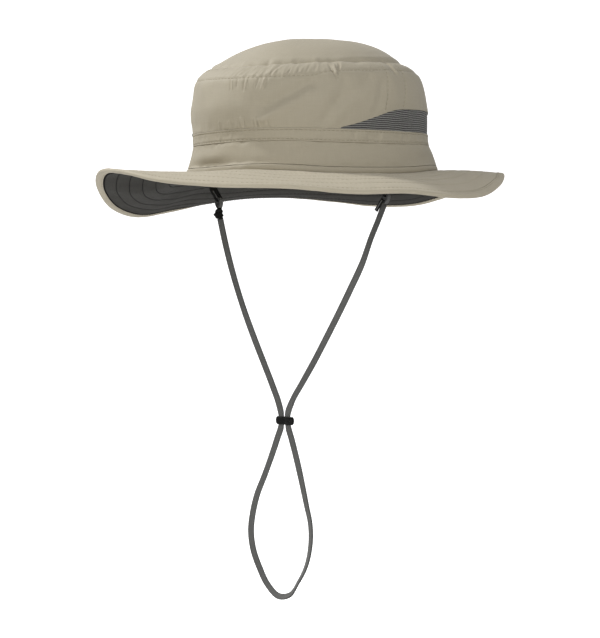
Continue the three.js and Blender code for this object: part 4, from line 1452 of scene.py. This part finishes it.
class SUNHAT_OT_bands(bpy.types.Operator):
    """Drawcord channel, lower band and the welt over the brim's seam"""

    bl_idname = "sunhat.bands"
    bl_label = "Bands"

    def execute(self, context):
        angle = turn_columns(620)[:, None]
        half_gap = CLEARANCE / 2
        rows = rows_between(CHANNEL_LOW + half_gap, CHANNEL_LEVEL, 0.8, CHANNEL_LINES, 0.9)[None, :]
        grid = crown_point(angle, rows, CHANNEL_PROUD)
        built = cloth_wall(grid, channel_relief(angle, rows), CLOTH + CHANNEL_PROUD)
        put_piece("cord_channel_cloth", built, khaki_cloth(), ["cord_channel"])
        angle = turn_columns(480)[:, None]
        low, high = SEAM_STRIP_HEIGHT + half_gap, CHANNEL_LOW - half_gap
        hems = np.array([TURN_IN_STEP, CLEARANCE + TURN_IN])
        hems = np.concatenate((low - hems, high + hems))
        rows = np.sort(np.concatenate((np.linspace(low, high, 22), hems)))[None, :]
        relief = band_relief(angle, rows) + turned_in(rows, low, high)
        built = cloth_wall(crown_point(angle, rows), relief, CLOTH)
        put_piece("lower_band_cloth", built, khaki_cloth(), ["lower_band"])
        rows = np.array([WELT_ROWS])
        grid = crown_point(angle, rows, SEAM_STRIP_PROUD)
        built = cloth_wall(grid, strip_relief(angle, rows), CLOTH + SEAM_STRIP_PROUD)
        put_piece("seam_welt", built, khaki_cloth(), ["seam_strip"])
        return {"FINISHED"}


class SUNHAT_OT_brim(bpy.types.Operator):
    """Stitched brim: top cloth, underside cloth and the binding round its edge"""

    bl_idname = "sunhat.brim"
    bl_label = "Brim"

    def execute(self, context):
        colours = context.scene.sun_hat_colours
        charcoal = woven("Charcoal cloth", colours.charcoal, 0.00045, 0.78, uneven=0.5)
        angle = turn_columns(520)[:, None]
        start = BINDING_WIDTH + CLEARANCE
        hem = start - CLEARANCE - TURN_IN, start - TURN_IN_STEP
        outer_rows = np.concatenate((hem, rows_between(start, BRIM_STEADY, 1.9, BRIM_LINES[:3])))
        width = brim_width(angle)
        inner_rows = BRIM_STEADY + (width + BRIM_TUCK - BRIM_STEADY) * np.linspace(0, 1, 28)[None, 1:]
        steady = np.broadcast_to(outer_rows[None, :], (len(angle), len(outer_rows)))
        inset = np.concatenate((steady, inner_rows), axis=1)
        grid = brim_point(angle, width - inset)
        normals = grid_normals(grid, True)
        for name, side, seed, cloth, slot in (
            ("top", 1, TOP_SEED, khaki_cloth(brim=True), "khaki_cloth"),
            ("underside", -1, UNDERSIDE_SEED, charcoal, "charcoal_cloth"),
        ):
            layer = BRIM_LAYER * np.where(inset < start, 0.5, 1)
            rise = BRIM_SPLIT + layer + brim_relief(angle, inset, seed)
            outer = grid + normals * (side * rise)[..., None]
            inner = grid + normals * side * BRIM_SPLIT
            built = shell(outer, inner, plan=True)
            put_piece(f"brim_{name}_cloth", built, cloth, [f"brim_{name}"])
        inset = np.broadcast_to(BINDING_ROWS, (len(angle), len(BINDING_ROWS)))
        built = shell(*(binding_face(angle, inset, side) for side in (1, -1)))
        put_piece("brim_edge_binding", built, khaki_cloth(brim=True), ["brim_binding"])
        return {"FINISHED"}


class SUNHAT_OT_stitching(bpy.types.Operator):
    """Rows of stitches on the crown, the channel, the brim and its binding"""

    bl_idname = "sunhat.stitching"
    bl_label = "Stitching"

    def execute(self, context):
        colours = context.scene.sun_hat_colours
        khaki = spun_thread("Khaki thread", colours.khaki_thread)
        pale = spun_thread("Brim thread", colours.brim_thread)
        dark = spun_thread("Charcoal thread", colours.charcoal_thread)
        angle = turn_columns(SEWN_POINTS)[:, None]
        top, under = (self.brim_lines(side) for side in (1, -1))
        put_piece("brim_top_stitches", stitches(top, 0.75), pale)
        # Real stitching beside the binding, drawn 2.9 threads thick in the near-black thread as a
        # painted shadow line along the binding's inner edge.
        edge = self.side_line(brim_face, -1, UNDER_EDGE_LINE)
        under = joined(stitches(under, 1.6), stitches([edge], 2.9))
        put_piece("brim_underside_stitches", under, dark)
        lines = [self.side_line(binding_face, side, BINDING_LINE) for side in (1, -1)]
        put_piece("binding_stitches", stitches(lines), pale)
        lines = [line_round(crown_face, topstitch_level(angle))]
        lines += [line_round(channel_face, line) for line in CHANNEL_LINES]
        lines += [self.seam_line(line, right) for line in SIDE_SEAM_LINES for right in (False, True)]
        put_piece("crown_stitches", stitches(lines), khaki)
        return {"FINISHED"}

    def side_line(self, face, side, at):
        """A closed line on the top (1) or the underside (-1) of the brim or its binding."""
        return line_round(lambda angle, inset: face(angle, inset, side), at)

    def brim_lines(self, side):
        """The rows of stitches on one face of the brim, as far as the crown's seam."""
        lines = []
        for line in BRIM_LINES:
            clear = brim_width(turn_columns(SEWN_POINTS)) - line > SEAM_MARGIN
            lines += self.parts_of(self.side_line(brim_face, side, line), clear)
        return lines

    def parts_of(self, line, wanted):
        """The stretches of a closed line where `wanted` is true."""
        path, normals = line
        if wanted.all():
            return [line]
        wanted = np.append(wanted, wanted[0])
        parts, start = [], None
        for k, on in enumerate([*wanted, False]):
            if on and start is None:
                start = k
            elif not on and start is not None:
                if k - start > SHORTEST_ROW:
                    parts.append((path[start:k], normals[start:k]))
                start = None
        return parts

    def seam_line(self, line, right):
        """A line of stitches up the side panels beside a side seam."""
        foot = side_seam(line, right, PANEL_MIDDLE)
        level = np.linspace(CHANNEL_LEVEL + float(vent_height(foot)) + 1.2, TIP_LEVEL - 1.5, 90)
        level = np.broadcast_to(level, (3, len(level)))
        angle = side_seam(line, right, level) + np.array([[-0.2], [0], [0.2]])
        grid = crown_point(angle, level)
        face = raised(grid, crown_relief(angle, level), False)
        return face[1], grid_normals(grid, False)[1]


class SUNHAT_PT_panel(bpy.types.Panel):
    """Lists the hat's sizes and colours, and its building steps"""

    bl_idname = "SUNHAT_PT_panel"
    bl_label = "Sun Hat"
    bl_space_type = "VIEW_3D"
    bl_region_type = "UI"
    bl_category = "Sun Hat"

    def draw(self, context):
        layout = self.layout
        for place, group in GROUPS.items():
            box = layout.box()
            for name in group.__annotations__:
                box.prop(getattr(context.scene, place), name)
        column = layout.column(align=True)
        for operator in OPERATORS:
            column.operator(operator.bl_idname)


GROUPS = {
    "sun_hat_shape": SunHatShape,
    "sun_hat_colours": SunHatColours,
    "sun_hat_stage": SunHatStage,
}
OPERATORS = (
    SUNHAT_OT_stage,
    SUNHAT_OT_toggle,
    SUNHAT_OT_hangers,
    SUNHAT_OT_chin_strap,
    SUNHAT_OT_tip,
    SUNHAT_OT_panels,
    SUNHAT_OT_vents,
    SUNHAT_OT_bands,
    SUNHAT_OT_brim,
    SUNHAT_OT_stitching,
)


def register():
    for part in (*GROUPS.values(), *OPERATORS, SUNHAT_PT_panel):
        bpy.utils.register_class(part)
    for place, group in GROUPS.items():
        setattr(bpy.types.Scene, place, bpy.props.PointerProperty(type=group))


def unregister():
    for place in GROUPS:
        delattr(bpy.types.Scene, place)
    for part in reversed((*GROUPS.values(), *OPERATORS, SUNHAT_PT_panel)):
        bpy.utils.unregister_class(part)


def main():
    register()
    for operator in OPERATORS:
        space, name = operator.bl_idname.split(".")
        getattr(getattr(bpy.ops, space), name)()


if __name__ == "__main__":
    main()
